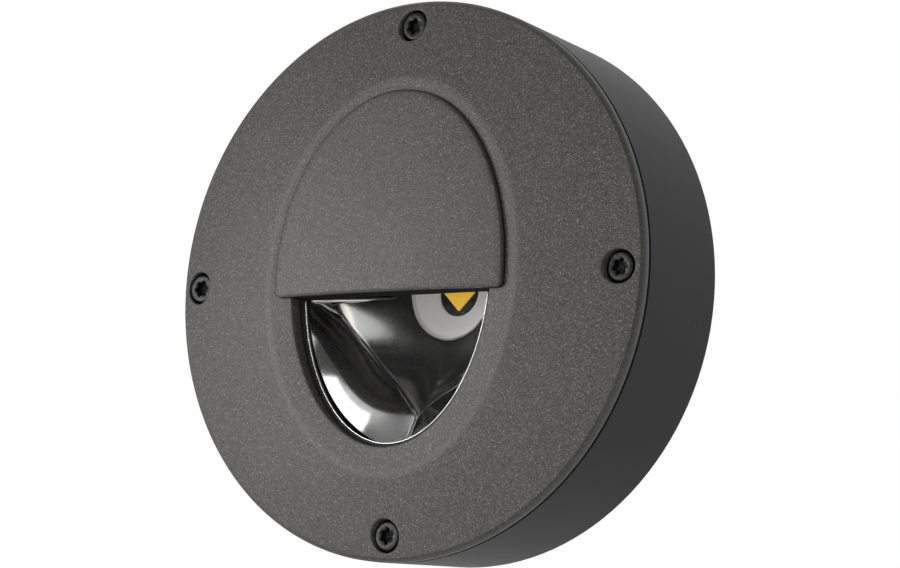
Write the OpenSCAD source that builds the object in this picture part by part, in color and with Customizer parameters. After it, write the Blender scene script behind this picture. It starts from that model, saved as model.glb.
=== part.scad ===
// Round wall spotlight: a shallow cast body with a shield over the upper half of an oval window.
// The row origin is the middle of the wall face. X is right, Z is up and the front looks along -Y.
// Depths are given as distances from the wall, towards the front.

/* [Body] */
// Diameter of the body at the joint between housing and cover
body_d = 130; // [126:1:150]
// How much narrower the housing is at the wall, on the radius
body_draft = 1.2; // [0:0.1:2]
// Depth of the rear housing
housing_h = 29.7; // [28:0.1:40]
// Wall of the housing at the joint
housing_wall = 4; // [3.6:0.1:5]
// Thickness of the housing's back
floor_t = 3; // [2.5:0.1:4]
// Gap between housing and cover, filled by the gasket
joint_gap = 0.6; // [0.4:0.1:1.2]

/* [Face] */
// Radius of the domed face
face_r = 283; // [250:1:400]
// Height of the cover's straight side
cover_side_h = 2.25; // [1.8:0.05:4]
// Chamfer on the cover's outer edge
cover_chamfer = 0.8; // [0.3:0.1:1.2]
// Gap between the oval crest and the body's edge, left and right
crest_side_gap = 30.2; // [28:0.1:32]
// Gap between the oval crest and the body's edge, up and down
crest_end_gap = 19.4; // [18:0.1:22]

/* [Window] */
// Gap between window and crest, left and right
window_side_gap = 6.8; // [5:0.1:8]
// Gap between window and crest, up and down
window_end_gap = 6.5; // [6:0.1:9]
// How far the land behind the window lies in front of the joint
land_h = 1.1; // [0.9:0.1:2]
// Gap between the bright trim ring and the window's wall, left and right
trim_side_gap = 1.75; // [1.5:0.05:2.5]
// Gap between the bright trim ring and the window's wall, up and down
trim_end_gap = 0.55; // [0.5:0.05:2]
// How far the trim ring reaches in front of the land
trim_h = 3.7; // [2.5:0.1:4]

/* [Shield] */
// Gap between the shield and the crest, left and right
shield_side_gap = 2.6; // [1.1:0.1:3]
// Gap between the shield and the crest, up and down
shield_end_gap = 2.3; // [0.7:0.1:3]
// How far the shield's lower edge lies below the body's axis
shield_edge = 4.2; // [3:0.1:8]
// How far the shield stands proud of the dome
shield_proud = 0.8; // [0.4:0.1:1.5]
// Wall of the shield over its rear pocket
shield_wall = 3; // [2.5:0.1:4]
// Depth of the step behind the shield's lower edge
shield_step_h = 2.1; // [1.5:0.1:3]

/* [Cover screws] */
// Head radius of a cover screw
cover_head_r = 3.3; // [3:0.05:3.5]
// Head height of a cover screw
cover_head_h = 2.8; // [2.4:0.1:3]
// Clearance round the head in its counterbore
head_clearance = 0.55; // [0.3:0.05:0.8]
// How far the heads' tops lie in front of the cover's straight side
head_rise = 0.5; // [0:0.05:0.6]
// Shank radius of a cover screw
cover_shank_r = 2; // [1.75:0.05:2.1]
// Shank length of a cover screw
cover_shank_l = 14; // [11:0.5:18]

/* [Glass] */
// Thickness of the safety glass
pane_t = 3; // [2.5:0.1:3.2]
// How far the glass reaches past the window, on the radius
pane_margin = 6; // [5.5:0.1:6.4]
// Thickness of the seal in front of the glass
pane_seal_t = 0.8; // [0.6:0.1:1]
// Sheet thickness of the frame that holds the glass
frame_t = 1.2; // [1:0.1:1.6]
// How far the frame reaches over the glass
frame_overlap = 1.7; // [1.4:0.1:1.9]
// How far the frame reaches past the glass
frame_rim = 2.6; // [2:0.1:3]

/* [Reflector] */
// Clearance between the reflector's rim and the frame of the glass
rim_clearance = 0.7; // [0.4:0.1:1.2]
// Gap between the reflector's rim and the window, up and down
rim_end_gap = 0; // [0:0.1:2]
// Gap between the reflector's rim and the glass
glass_gap = 0.2; // [0.2:0.1:0.6]
// Sheet thickness of the reflector, along the depth
bowl_t = 1; // [0.8:0.1:1.2]
// Gap between the lamp ring and the hole around it
ring_hole_gap = 0.7; // [0.4:0.1:1.2]

/* [Lamp] */
// Side of the square light source
chip_side = 6; // [5:0.1:7]
// Radius of the hole in the lamp ring
ring_hole_r = 5.6; // [5:0.1:6.5]
// Outer radius of the lamp ring
ring_r = 10.9; // [10:0.1:11]
// Height of the lamp ring above its board
ring_h = 3; // [2.6:0.1:4]
// Radius of the circuit board under the lamp
board_r = 16; // [15.6:0.1:16.4]
// Height of the cast seat under the lamp
seat_h = 4; // [3.5:0.1:4.2]

/* [Driver] */
// Gap between the lamp's seat and the driver
driver_gap = 6; // [5:0.5:10]
// Gap between the driver and the top of the cavity
driver_top_gap = 14; // [12:0.5:20]
// Room between the driver and the screws of the glass frame
driver_front_gap = 3.1; // [1:0.1:6]
// Gap between the driver and the terminal block
terminal_gap = 8; // [7:0.5:12]

/* [Wall fixing] */
// Gap between a wall screw's middle and the cavity's wall
fixing_inset = 16; // [13:0.5:20]
// Radius of the wall screw holes
fixing_hole_r = 2.5; // [2.2:0.1:3]
// Radius of the cable bore in the grommet
cable_r = 4.5; // [3.5:0.1:5]

/* [Hidden] */
$fn = 96;

// Overrun of every cut past the face that it opens
cut = 0.5;
// Radial clearance of a screw in its thread, drawn plain
thread_fit = 0.05;
// Radial clearance of a screw in a through hole
through_fit = 0.2;
// Radial clearance of a rubber piece in its hole
rubber_fit = 0.1;

// Body
body_r = body_d / 2;
back_r = body_r - body_draft;
cavity_r = body_r - housing_wall;
cover_d = housing_h + joint_gap;
face_sag = face_r - sqrt(pow(face_r, 2) - pow(body_r, 2));
cover_side_d = cover_d + cover_side_h;
land_d = cover_d + land_h;
crown_d = cover_side_d + face_sag;

// Ovals on the face
crest_a = body_r - crest_side_gap;
crest_b = body_r - crest_end_gap;
window_a = crest_a - window_side_gap;
window_b = crest_b - window_end_gap;
shield_a = crest_a - shield_side_gap;
shield_b = crest_b - shield_end_gap;

// Dish between crest and window: a wide arch, level from side to side, that meets the dome along the crest
dish_bow = sag(crest_b) - sag(crest_a);
dish_r = (pow(crest_b, 2) + pow(dish_bow, 2)) / (2 * dish_bow);
dish_crown_d = crown_d - sag(crest_a);

// Screws of the cover and the sleeves around them
sleeve_wall = 0.85;
sleeve_floor_t = 2;
sleeve_fit = 0.2;
sleeve_edge = 1;
counterbore_r = cover_head_r + head_clearance;
sleeve_r = counterbore_r + sleeve_wall;
screw_circle_r = body_r - sleeve_edge - sleeve_fit - sleeve_r;
cover_head_d = cover_side_d + head_rise;
head_seat_d = cover_head_d - cover_head_h;
sleeve_d = head_seat_d - sleeve_floor_t;
boss_wall = 2.1;
boss_r = sleeve_r + sleeve_fit + boss_wall;
screw_hole_extra = 2;
gasket_edge = 1.1;
gasket_w = 2.4;
gasket_round_gap = 0.4;
gasket_round_r = sleeve_r + gasket_round_gap;
gasket_round_w = 1.5;
drive_r = 1.9;
drive_h = 1.6;
drive_point_r = 0.45;
drive_points = 6;

// Glass, its seal and its frame
pane_a = window_a + pane_margin;
pane_b = window_b + pane_margin;
pane_top = 4.5;
pane_front_d = land_d - pane_seal_t;
pane_back_d = pane_front_d - pane_t;
seal_top_gap = 1;
seal_top = seal_top_gap - shield_edge;
seal_lip_wall = 0.5;
seal_a = window_a - rubber_fit - seal_lip_wall;
seal_b = window_b - rubber_fit - seal_lip_wall;
lip_top_gap = 0.3;
lip_top = -shield_edge - lip_top_gap;
lip_ledge_t = 0.5;
lip_ledge_w = 0.25;
trim_a = window_a - trim_side_gap;
trim_b = window_b - trim_end_gap;
trim_w = 0.4;
trim_t = 0.9;
trim_fit = 0.05;
trim_proud = 0.2;
trim_d = land_d + trim_h;
trim_back_d = trim_d - trim_t;
lip_d = trim_d - trim_proud;
ledge_a = trim_a - trim_w - lip_ledge_w;
ledge_b = trim_b - trim_w - lip_ledge_w;
frame_a = pane_a + frame_rim;
frame_b = pane_b + frame_rim;
frame_lap = 2;
frame_top = pane_top + frame_lap;
frame_bar = 3;
frame_back_d = pane_back_d - frame_t;
ear_r = 3.4;
frame_screw_angles = [3, -42, -72, 177, 222, 252];
small_shank_r = 1.5;
small_head_r = 2.75;
small_head_h = 1.8;
small_shank_l = 6;
slot_w = 0.8;
slot_h = 0.9;

// Rear pockets of the cover
pocket_wall = 2.4;
pocket_r = screw_circle_r - sleeve_r - pocket_wall;
pocket_extra_h = 1.9;
shield_pocket_margin = 4;
pocket_slope = 0.9;
shield_pocket_d = crown_d - shield_wall - pocket_slope;
shield_step_w = 1.7;

// Lamp on its seat
seat_rim = 1;
seat_r = board_r + seat_rim;
seat_d = floor_t + seat_h;
pad_t = 0.5;
board_t = 1.6;
chip_t = 0.5;
board_back_d = seat_d + pad_t;
board_d = board_back_d + board_t;
pad_inset = 1;
ring_flange_inset = 0.4;
ring_flange_r = board_r - ring_flange_inset;
ring_flange_t = 1;
ring_lip = 0.5;
ring_gap = 0.6;
ring_notch_w = 12;
lamp_screw_angles = [35, 145];
lamp_screw_inset = 3;
lamp_screw_r = board_r - lamp_screw_inset;
lamp_shank_r = 1.25;
lamp_head_r = 2.1;
lamp_head_h = 1.5;
lamp_shank_l = 7;

// Reflector: rim, fold and hole, each a depth from the wall and a place along the wing
ring_d = board_d + ring_h;
bead_w = 0.55;
bead_h = 0.35;
bowl_a = pane_a - frame_overlap - rim_clearance - bead_w;
bowl_b = window_b - rim_end_gap;
bowl_rim_d = pane_back_d - glass_gap;
bowl_hole_r = ring_r + ring_hole_gap;
fold_end_depth_share = 0.725;
fold_mid_depth_share = 0.392;
fold_end_share = 0.78;
fold_mid_share = 0.5;
bowl_end_angle = 5.4;
bowl_hole_end_angle = 7.5;
collar_lift_angle = 20;
bowl_steps = 40;
fold_rows = 4;
lug_w = 8;
lug_bite = 1.45;
lug_z = -10;
lug_drop = 1.3;
lug_t = 0.8;
post_r = 3.2;
post_gap = 6;
post_x = frame_a + post_gap;
post_h = bowl_rim_d - lug_drop - lug_t;
post_hole_h = 9;

// Terminal block in the cavity's right corner
terminal_z = 9;
terminal_pitch = 7.5;
terminal_poles = 3;
terminal_l = terminal_poles * terminal_pitch;
terminal_w = 14;
terminal_h = 12;
terminal_pad_h = 3;
terminal_d = floor_t + terminal_pad_h;
well_r = 2.4;
well_h = 6;
clamp_r = 2.2;
clamp_h = 4;
entry_r = 1.6;
entry_h = 4.5;
entry_lift = 3.4;
entry_d = terminal_d + entry_lift;
terminal_tab_t = 3;
tab_w = 7;
tab_l = 7;
tab_inset = 2;
terminal_tab_top = terminal_z + terminal_l + tab_l - cut;
corner_gap = 1.3;
terminal_x = sqrt(pow(cavity_r - corner_gap, 2) - pow(terminal_tab_top, 2)) - tab_w - tab_inset;
terminal_screw_x = terminal_x + tab_inset + tab_w / 2;
terminal_screw_z = terminal_tab_top - tab_l / 2;

// Driver behind the shield, as long as the wall above it and the terminal block allow
tab_t = 2.5;
tab_boss_h = 4;
tab_boss_r = 3.4;
driver_z = seat_r + driver_gap;
driver_top_z = cavity_r - driver_top_gap;
driver_w = driver_top_z - driver_z;
tab_corner_gap = 2.1;
driver_half_l = min(terminal_x - terminal_gap,
    sqrt(pow(cavity_r - tab_corner_gap, 2) - pow(driver_top_z, 2)) - tab_l);
driver_l = 2 * driver_half_l;
lid_t = 1.5;
driver_d = frame_back_d - small_head_h - driver_front_gap;
driver_wall = 1.6;
ledge_h = 5;
ledge_w = 2;
circuit_d = floor_t + ledge_h;
circuit_t = 1.6;
circuit_fit = 0.3;
coil_l_share = 0.25;
coil_w_share = 0.583;
coil_x_share = -0.16;
coil_gap = 0.9;
coil_h = driver_d - 2 * lid_t - coil_gap - circuit_d - circuit_t;
core_share = 0.31;
core_over = 1;
capacitor_r_share = 0.14;
capacitor_gap = 1.4;
capacitor_h = driver_d - 2 * lid_t - capacitor_gap - circuit_d - circuit_t;
capacitor_x_shares = [0.045, 0.2];
tab_z_shares = [0.21, 0.79];
lead_r = 0.9;
lead_hole_r = 1.1;
lead_h = 10;
lead_d = floor_t + lead_h;
lead_sides = 8;
lead_spans = 3;
lead_end_gap = 0.3;
lead_out = 1;
mains_lead_z_shares = [0.23, 0.46];
lamp_lead_z_shares = [0.52, 0.71];

// Earth point below the terminal block
earth_z = -3;
earth_boss_r = 3.8;
earth_gap = 1.7;
earth_boss_h = 4;
earth_head_r = 3.4;
earth_head_h = 2.4;
earth_shank_r = 2;
earth_shank_l = 5.5;
tag_r = 3.7;
tag_t = 0.8;
crimp_l = 5;
crimp_r = 1.5;
crimp_gap = 0.5;
crimp_z = earth_z + tag_r + crimp_gap;
crimp_d = floor_t + earth_boss_h + crimp_r;
crimp_wall = 1.2;

// Openings and seals in the housing's back
fixing_x = cavity_r - fixing_inset;
fixing_boss_r = 6;
fixing_boss_h = 3;
fixing_seal_r = 5;
fixing_seal_t = 1.5;
earth_x = fixing_x - fixing_boss_r - earth_gap - earth_boss_r;
entry_inset = 7;
entry_gap = 0.8;
grommet_hole_w = 3.5;
grommet_hole_r = cable_r + grommet_hole_w;
grommet_lip_w = 1.4;
grommet_lip_r = grommet_hole_r + grommet_lip_w;
grommet_lip_t = 1.2;
grommet_flange_w = 2;
grommet_flange_r = grommet_hole_r + grommet_flange_w;
grommet_flange_t = 2;
grommet_nose_h = 4;
grommet_nose_w = 1.5;
grommet_end_w = 1.1;
entry_x = fixing_x - entry_inset;
entry_z = lug_z - post_r - entry_gap - grommet_flange_r;
membrane_t = 1.5;
wall_gasket_w = 4;
wall_gasket_t = 1.2;
wall_gasket_edge = 3;
vent_gap = 2.9;
vent_hole_r = 2.5;
vent_head_r = 4.2;
vent_z = boss_r + vent_gap + vent_head_r - screw_circle_r;
vent_head_h = 2.2;
vent_slots = 6;
vent_slot_w = 1;
vent_slot_h = 1;
vent_recess = 0.3;

// Bends of the leads, as steps [x, depth, z] from the ends that each lead joins
mains_from_terminal = [-2.4, 1.2, 2];
mains_to_driver = [3, -0.7, -1.3];
driver_inside = [[-2.5, 0, 0], [-4.3, -1.3, 0]];
driver_end = 4.5;
lamp_inside = [[4.3, -1.3, 0], [2.5, 0, 0]];
lamp_plus_out = [[-0.7, 0, 0], [-4.6, -0.1, -1.5]];
lamp_plus_round = [[-8.4, -1, 5.5], [-7.4, -1.4, -0.8], [-1, -1.6, -3.4]];
lamp_plus_last = [[-10.5, 2.3, 5.3], [-3.5, 2.4, 4.8], [-0.4, 2.6, 2.3], [0, 2, 0.3], [0, 0.1, 0]];
lamp_minus_out = [[-0.7, 0, 0], [-6, -0.1, -1.4]];
lamp_minus_round = [[-12, -1, 7.5], [-11, -1.5, -2.5], [-3, -1.6, -6.4]];
lamp_minus_last = [[-17.5, 2.3, 2.1], [-6.5, 2.3, 2.3], [-1.5, 2.6, 1.9], [0, 2, 0.3], [0, 0.1, 0]];
lamp_end_x = 2.5;
lamp_end_inset = 2.1;
earth_from_terminal = [-1.6, -0.1, -0.5];
earth_from_crimp = [[0.2, 0.3, 2.4], [0, 0, 0.6]];

// Places where leads enter the terminal block, the driver's right end and its left end
function terminal_entry(pole) = [terminal_x, entry_d, pole_z(pole)];
function mains_entry(i) = [driver_half_l, lead_d, driver_z + mains_lead_z_shares[i] * driver_w];
function lamp_entry(i) = [-driver_half_l, lead_d, driver_z + lamp_lead_z_shares[i] * driver_w];

// Adds a place to each step of a list
function from(place, steps) = [for (step = steps) place + step];

// Routes of the leads, each point [x, depth, z]
function terminal_end(pole) = from(terminal_entry(pole), [[entry_h - lead_end_gap, 0, 0], [lead_out, 0, 0]]);
function mains_route(pole, i) = concat(
    terminal_end(pole),
    [terminal_entry(pole) + mains_from_terminal, mains_entry(i) + mains_to_driver,
        mains_entry(i) + [lead_out, 0, 0]],
    from(mains_entry(i), driver_inside),
    [[driver_half_l - driver_end, circuit_d + circuit_t, mains_entry(i)[2]]]
);
function lamp_route(i, side, out, round_corner, last) = concat(
    [[driver_end - driver_half_l, circuit_d + circuit_t, lamp_entry(i)[2]]],
    from(lamp_entry(i), concat(lamp_inside, out)),
    from([-driver_half_l, lead_d, driver_z], round_corner),
    from([side * lamp_end_x, board_d, board_r - lamp_end_inset], last)
);
function earth_route() = concat(
    terminal_end(0),
    [terminal_entry(0) + earth_from_terminal],
    from([earth_x, crimp_d, crimp_z + crimp_l], earth_from_crimp),
    [[earth_x, crimp_d, crimp_z + crimp_wall + lead_end_gap]]
);

// Depth that the domed face falls from its top to a radius
function sag(r) = face_r - sqrt(pow(face_r, 2) - pow(r, 2));

// Puts an outline on the wall plane and thickens it between two depths
module slab(from, to) {
    rotate([90, 0, 0])
        translate([0, 0, from])
            linear_extrude(to - from)
                children();
}

// A round bar along the depth
module bar(r, from, to, x = 0, z = 0) {
    translate([x, 0, z])
        rotate([90, 0, 0])
            translate([0, 0, from])
                cylinder(r = r, h = to - from);
}

// A cone along the depth
module cone(r_from, r_to, from, to, x = 0, z = 0) {
    translate([x, 0, z])
        rotate([90, 0, 0])
            translate([0, 0, from])
                cylinder(r1 = r_from, r2 = r_to, h = to - from);
}

// A box given by two corners, with the depth between two distances from the wall
module block(x0, x1, from, to, z0, z1) {
    translate([x0, -to, z0])
        cube([x1 - x0, to - from, z1 - z0]);
}

// A turned profile of radius and depth
module turned(points, x = 0, z = 0) {
    translate([x, 0, z])
        rotate([90, 0, 0])
            rotate_extrude()
                polygon(points);
}

// Upright oval in the wall plane
module oval(a, b) {
    scale([a, b])
        circle(r = 1);
}

// The part of an oval below a height
module oval_below(a, b, top) {
    intersection() {
        oval(a, b);
        translate([-a, -2 * b])
            square([2 * a, 2 * b + top]);
    }
}

// The part of an oval above a height
module oval_above(a, b, low) {
    intersection() {
        oval(a, b);
        translate([-a, low])
            square([2 * a, 2 * b]);
    }
}

// Copies a piece to the four cover screws
module at_cover_screws() {
    for (turn = [0 : 90 : 270])
        rotate([0, turn, 0])
            translate([screw_circle_r, 0, 0])
                children();
}

// Copies a piece to the screws of the glass frame
module at_frame_screws() {
    for (angle = frame_screw_angles)
        translate([(frame_a + ear_r) * cos(angle), 0, (frame_b + ear_r) * sin(angle)])
            children();
}

// Copies a piece to the screws of the lamp
module at_lamp_screws() {
    for (angle = lamp_screw_angles)
        translate([lamp_screw_r * cos(angle), 0, lamp_screw_r * sin(angle)])
            children();
}

// Copies a piece to the left and right of the axis
module both_sides(x, z = 0) {
    for (side = [-1, 1])
        translate([side * x, 0, z])
            children();
}

// Middle of a driver tab, left and right
function tab_place(i) = [(2 * i - 1) * (driver_half_l + tab_l / 2), driver_z + tab_z_shares[i] * driver_w];

// Height of a terminal pole
function pole_z(i) = terminal_z + terminal_l / 2 + (i - (terminal_poles - 1) / 2) * terminal_pitch;

// A slotted screw: its head's seat at a depth, its shank towards the wall, or towards the front
module screw(head_r, head_h, shank_r, shank_l, seat, to_front = false) {
    translate([0, -seat, 0])
        mirror([0, to_front ? 1 : 0, 0])
            difference() {
                union() {
                    bar(head_r, 0, head_h);
                    bar(shank_r, -shank_l, head_h / 2);
                }
                block(-head_r - cut, head_r + cut, head_h - slot_h, head_h + cut, -slot_w / 2, slot_w / 2);
            }
}

// A tube along a route of [x, depth, z] points, smoothed between them
module lead(points) {
    route = [for (k = [0 : len(points) - 2]) for (j = [0 : lead_spans - 1]) along(points, k, j / lead_spans),
        points[len(points) - 1]];
    last = len(route) - 1;
    ways = [for (k = [0 : last]) unit(route[min(k + 1, last)] - route[max(k - 1, 0)])];
    sides = [for (k = 0, n = square_to(ways[0], [0, 0, 1]); k <= last;
        k = k + 1, n = square_to(ways[min(k, last)], n)) n];
    rings = [for (k = [0 : last]) for (i = [0 : lead_sides - 1])
        route[k] + lead_r * (cos(i * 360 / lead_sides) * sides[k]
            + sin(i * 360 / lead_sides) * cross(ways[k], sides[k]))];
    tube = [for (k = [0 : last - 1]) for (i = [0 : lead_sides - 1])
        let (a = k * lead_sides + i, b = k * lead_sides + (i + 1) % lead_sides)
            each [[a, a + lead_sides, b], [b, a + lead_sides, b + lead_sides]]];
    ends = [for (i = [1 : lead_sides - 2])
        each [[0, i, i + 1], [last * lead_sides, last * lead_sides + i + 1, last * lead_sides + i]]];
    polyhedron([for (p = rings) [p[0], -p[1], p[2]]], [for (f = concat(tube, ends)) [f[0], f[2], f[1]]]);
}

// Unit vector, and the part of a vector that is square to a direction
function unit(v) = v / norm(v);
function square_to(way, v) = unit(v - (v * way) * way);

// Point on the smooth curve through four neighbouring points, at a share of the middle span
function along(p, k, t) =
    let (a = p[max(k - 1, 0)], b = p[k], c = p[k + 1], d = p[min(k + 2, len(p) - 1)])
        b + t * ((c - a) / 2 + t * ((a - 2.5 * b + 2 * c - d / 2) + t * (1.5 * (b - c) + (d - a) / 2)));

// Socket head screw with a six-lobed drive, for the cover
module cover_screw() {
    difference() {
        union() {
            bar(cover_head_r, head_seat_d, cover_head_d);
            bar(cover_shank_r, head_seat_d - cover_shank_l, head_seat_d + cut);
        }
        slab(cover_head_d - drive_h, cover_head_d + cut)
            difference() {
                circle(r = drive_r);
                for (point = [0 : drive_points - 1])
                    rotate(point * 360 / drive_points)
                        translate([drive_r, 0])
                            circle(r = drive_point_r);
            }
    }
}

// Screw bosses that the cover is fastened to, inside the drafted outline
module housing_bosses() {
    intersection() {
        at_cover_screws() bar(boss_r, 0, housing_h);
        cone(back_r, body_r, 0, housing_h);
    }
}

module rear_housing() {
    color("#4a4a4b")
    difference() {
        union() {
            difference() {
                cone(back_r, body_r, 0, housing_h);
                bar(cavity_r, floor_t, housing_h + cut);
            }
            housing_bosses();
            bar(seat_r, 0, seat_d);
            both_sides(post_x, lug_z) bar(post_r, 0, post_h);
            both_sides(fixing_x) bar(fixing_boss_r, 0, floor_t + fixing_boss_h);
            bar(earth_boss_r, 0, floor_t + earth_boss_h, earth_x, earth_z);
            for (i = [0, 1])
                bar(tab_boss_r, 0, floor_t + tab_boss_h, tab_place(i)[0], tab_place(i)[1]);
            block(terminal_x + pad_inset, terminal_x + terminal_w - pad_inset, 0, terminal_d,
                terminal_z + pad_inset, terminal_z + terminal_l);
            bar(tab_boss_r, 0, terminal_d, terminal_screw_x, terminal_screw_z);
        }
        at_cover_screws() {
            bar(sleeve_r + sleeve_fit, sleeve_d, housing_h + cut);
            bar(cover_shank_r + thread_fit, head_seat_d - cover_shank_l - screw_hole_extra, housing_h);
        }
        at_lamp_screws()
            bar(lamp_shank_r + thread_fit, board_d + ring_flange_t - lamp_shank_l - cut, seat_d + cut);
        both_sides(post_x, lug_z)
            bar(small_shank_r + thread_fit, post_h - post_hole_h, post_h + cut);
        both_sides(fixing_x) bar(fixing_hole_r, -cut, floor_t + fixing_boss_h + cut);
        bar(earth_shank_r + thread_fit, floor_t + earth_boss_h + tag_t - earth_shank_l - cut,
            floor_t + earth_boss_h + cut, earth_x, earth_z);
        for (i = [0, 1])
            bar(small_shank_r + thread_fit, floor_t + tab_boss_h + tab_t - small_shank_l - cut / 2,
                floor_t + tab_boss_h + cut, tab_place(i)[0], tab_place(i)[1]);
        bar(small_shank_r + thread_fit, terminal_d + terminal_tab_t - small_shank_l - cut, terminal_d + cut,
            terminal_screw_x, terminal_screw_z);
        both_sides(entry_x, entry_z) {
            bar(grommet_hole_r, -cut, floor_t + cut);
            bar(grommet_lip_r + rubber_fit, -cut, grommet_lip_t);
        }
        bar(vent_hole_r, -cut, floor_t + cut, 0, vent_z);
        slab(-cut, wall_gasket_t) wall_ring(0);
    }
}

// Ring in the housing's back for the wall seal
module wall_ring(clearance) {
    difference() {
        circle(r = back_r - wall_gasket_edge - clearance);
        circle(r = back_r - wall_gasket_edge - wall_gasket_w + clearance);
    }
}

// The domed cap before its window is cut
module cover_cap() {
    intersection() {
        translate([0, face_r - crown_d, 0])
            sphere(r = face_r, $fn = 360);
        union() {
            bar(body_r, cover_d, cover_side_d - cover_chamfer);
            cone(body_r, body_r - cover_chamfer, cover_side_d - cover_chamfer, cover_side_d);
            bar(body_r - cover_chamfer, cover_side_d, crown_d + cut);
        }
    }
}

// Rear pockets that leave the cover's walls even
module cover_pockets() {
    bar(pocket_r, cover_d - cut, land_d);
    slab(land_d - cut, land_d + pocket_extra_h)
        difference() {
            circle(r = pocket_r);
            oval_below(frame_a, frame_b, frame_top);
        }
    slab(land_d, shield_pocket_d)
        oval_above(shield_a - shield_pocket_margin, shield_b - shield_pocket_margin, frame_top);
}

// Everything behind the dish's floor
module dish_arch() {
    translate([0, dish_r - dish_crown_d, 0])
        rotate([0, 90, 0])
            cylinder(h = 2 * body_d, r = dish_r, center = true, $fn = 720);
}

// The shield in front of the upper half of the window, with a step behind its lower edge
module shield() {
    difference() {
        intersection() {
            translate([0, face_r - crown_d, 0])
                sphere(r = face_r + shield_proud, $fn = 360);
            slab(land_d, crown_d + shield_proud + cut)
                oval_above(shield_a, shield_b, -shield_edge);
        }
        slab(land_d - cut, land_d + shield_step_h)
            oval_below(window_a, window_b, shield_step_w - shield_edge);
    }
}

module front_cover() {
    color("#5d5b58")
    difference() {
        union() {
            difference() {
                intersection() {
                    cover_cap();
                    dish_arch();
                }
                slab(cover_d - cut, crown_d)
                    oval(window_a, window_b);
                cover_pockets();
            }
            difference() {
                shield();
                cover_pockets();
            }
            at_cover_screws() bar(sleeve_r, sleeve_d, cover_d + cut);
            at_frame_screws() bar(ear_r, pane_back_d, land_d + pocket_extra_h + cut);
        }
        at_cover_screws() {
            bar(counterbore_r, head_seat_d, crown_d);
            bar(cover_shank_r + through_fit, sleeve_d - cut, crown_d);
        }
        at_frame_screws()
            bar(small_shank_r + thread_fit, pane_back_d - cut, frame_back_d + small_shank_l + cut);
    }
}

// Flat silicone ring that steps inwards round each screw sleeve
module front_gasket() {
    color("#161616")
    slab(housing_h, cover_d)
        intersection() {
            circle(r = body_r - gasket_edge);
            union() {
                difference() {
                    circle(r = body_r - gasket_edge);
                    circle(r = body_r - gasket_edge - gasket_w);
                    for (turn = [0 : 90 : 270])
                        rotate(turn) translate([screw_circle_r, 0]) circle(r = gasket_round_r);
                }
                for (turn = [0 : 90 : 270])
                    rotate(turn)
                        translate([screw_circle_r, 0])
                            difference() {
                                circle(r = gasket_round_r + gasket_round_w);
                                circle(r = gasket_round_r);
                            }
            }
        }
}

module cover_screws() {
    color("#2b2b2b")
    at_cover_screws() cover_screw();
}

module glass_pane() {
    color("#dfe8e6", 0.35)
    slab(pane_back_d, pane_front_d)
        oval_below(pane_a, pane_b, pane_top);
}

// Seal in front of the glass, with a lip along the window's wall that carries the trim ring
module glass_seal() {
    color("#1a1a1a")
    difference() {
        union() {
            slab(pane_front_d, land_d) oval_below(pane_a, pane_b, pane_top);
            slab(pane_front_d, lip_d) oval_below(window_a - rubber_fit, window_b - rubber_fit, lip_top);
        }
        slab(pane_front_d - cut, trim_back_d - lip_ledge_t) oval_below(seal_a, seal_b, seal_top);
        slab(trim_back_d - lip_ledge_t - cut, lip_d + cut) oval_below(ledge_a, ledge_b, seal_top);
        slab(trim_back_d, lip_d + cut) oval_below(trim_a + trim_fit, trim_b + trim_fit, seal_top);
    }
}

// Bright ring along the lip of the seal, open at the shield
module window_trim() {
    color("#d8dadb")
    slab(trim_back_d, trim_d)
        difference() {
            oval_below(trim_a, trim_b, lip_top);
            oval_below(trim_a - trim_w, trim_b - trim_w, seal_top);
        }
}

module glass_frame() {
    color("#26282a")
    difference() {
        union() {
            slab(frame_back_d, pane_back_d)
                difference() {
                    oval_below(frame_a, frame_b, frame_top);
                    oval_below(pane_a - frame_overlap, pane_b - frame_overlap, pane_top - frame_bar);
                }
            at_frame_screws() bar(ear_r, frame_back_d, pane_back_d);
        }
        at_frame_screws() bar(small_shank_r + through_fit, frame_back_d - cut, pane_back_d + cut);
    }
}

module frame_screws() {
    color("#b9bbbd")
    at_frame_screws() screw(small_head_r, small_head_h, small_shank_r, small_shank_l, frame_back_d, true);
}

// Angle of a wing's step, with the end of the sweep given
function wing_angle(i, end) = -90 + (2 * i / bowl_steps - 1) * (90 - end);

// How far a wing's step is between the creases' ends, 0, and their middle, 1
function fold_share(i) = abs(sin(2 * wing_angle(i, bowl_end_angle)));

// Share of the way from the hole to the rim, for a row of the reflector
function row_share(i, j) =
    let (fold = fold_end_share + (fold_mid_share - fold_end_share) * fold_share(i))
        j <= fold_rows ? fold * j / fold_rows : fold + (1 - fold) * (j - fold_rows) / fold_rows;

// Depth of the reflector's face from the wall
function row_depth(i, j) =
    let (
        share = fold_end_depth_share + (fold_mid_depth_share - fold_end_depth_share) * fold_share(i),
        fold = ring_d + (bowl_rim_d - ring_d) * share
    )
        j <= fold_rows ? ring_d + (fold - ring_d) * j / fold_rows
            : fold + (bowl_rim_d - fold) * (j - fold_rows) / fold_rows;

// A point of the reflector's face: from the hole round the lamp ring to the oval rim, then over the bead
function bowl_point(i, j) =
    let (
        rim = wing_angle(i, bowl_end_angle),
        lift = collar_lift_angle * pow(max(0, 1 - j), 2),
        hole = wing_angle(i, bowl_hole_end_angle - lift),
        inner = bowl_hole_r * [cos(hole), sin(hole)],
        outer = [bowl_a * cos(rim), bowl_b * sin(rim)],
        bead = j > 2 * fold_rows ? bead_w : 0,
        share = row_share(i, min(j, 2 * fold_rows)),
        place = inner + (outer - inner) * share + bead * [cos(rim), sin(rim)]
    )
        [place[0], row_depth(i, min(j, 2 * fold_rows)) - (bead > 0 ? bead_h : 0), place[1]];

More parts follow.
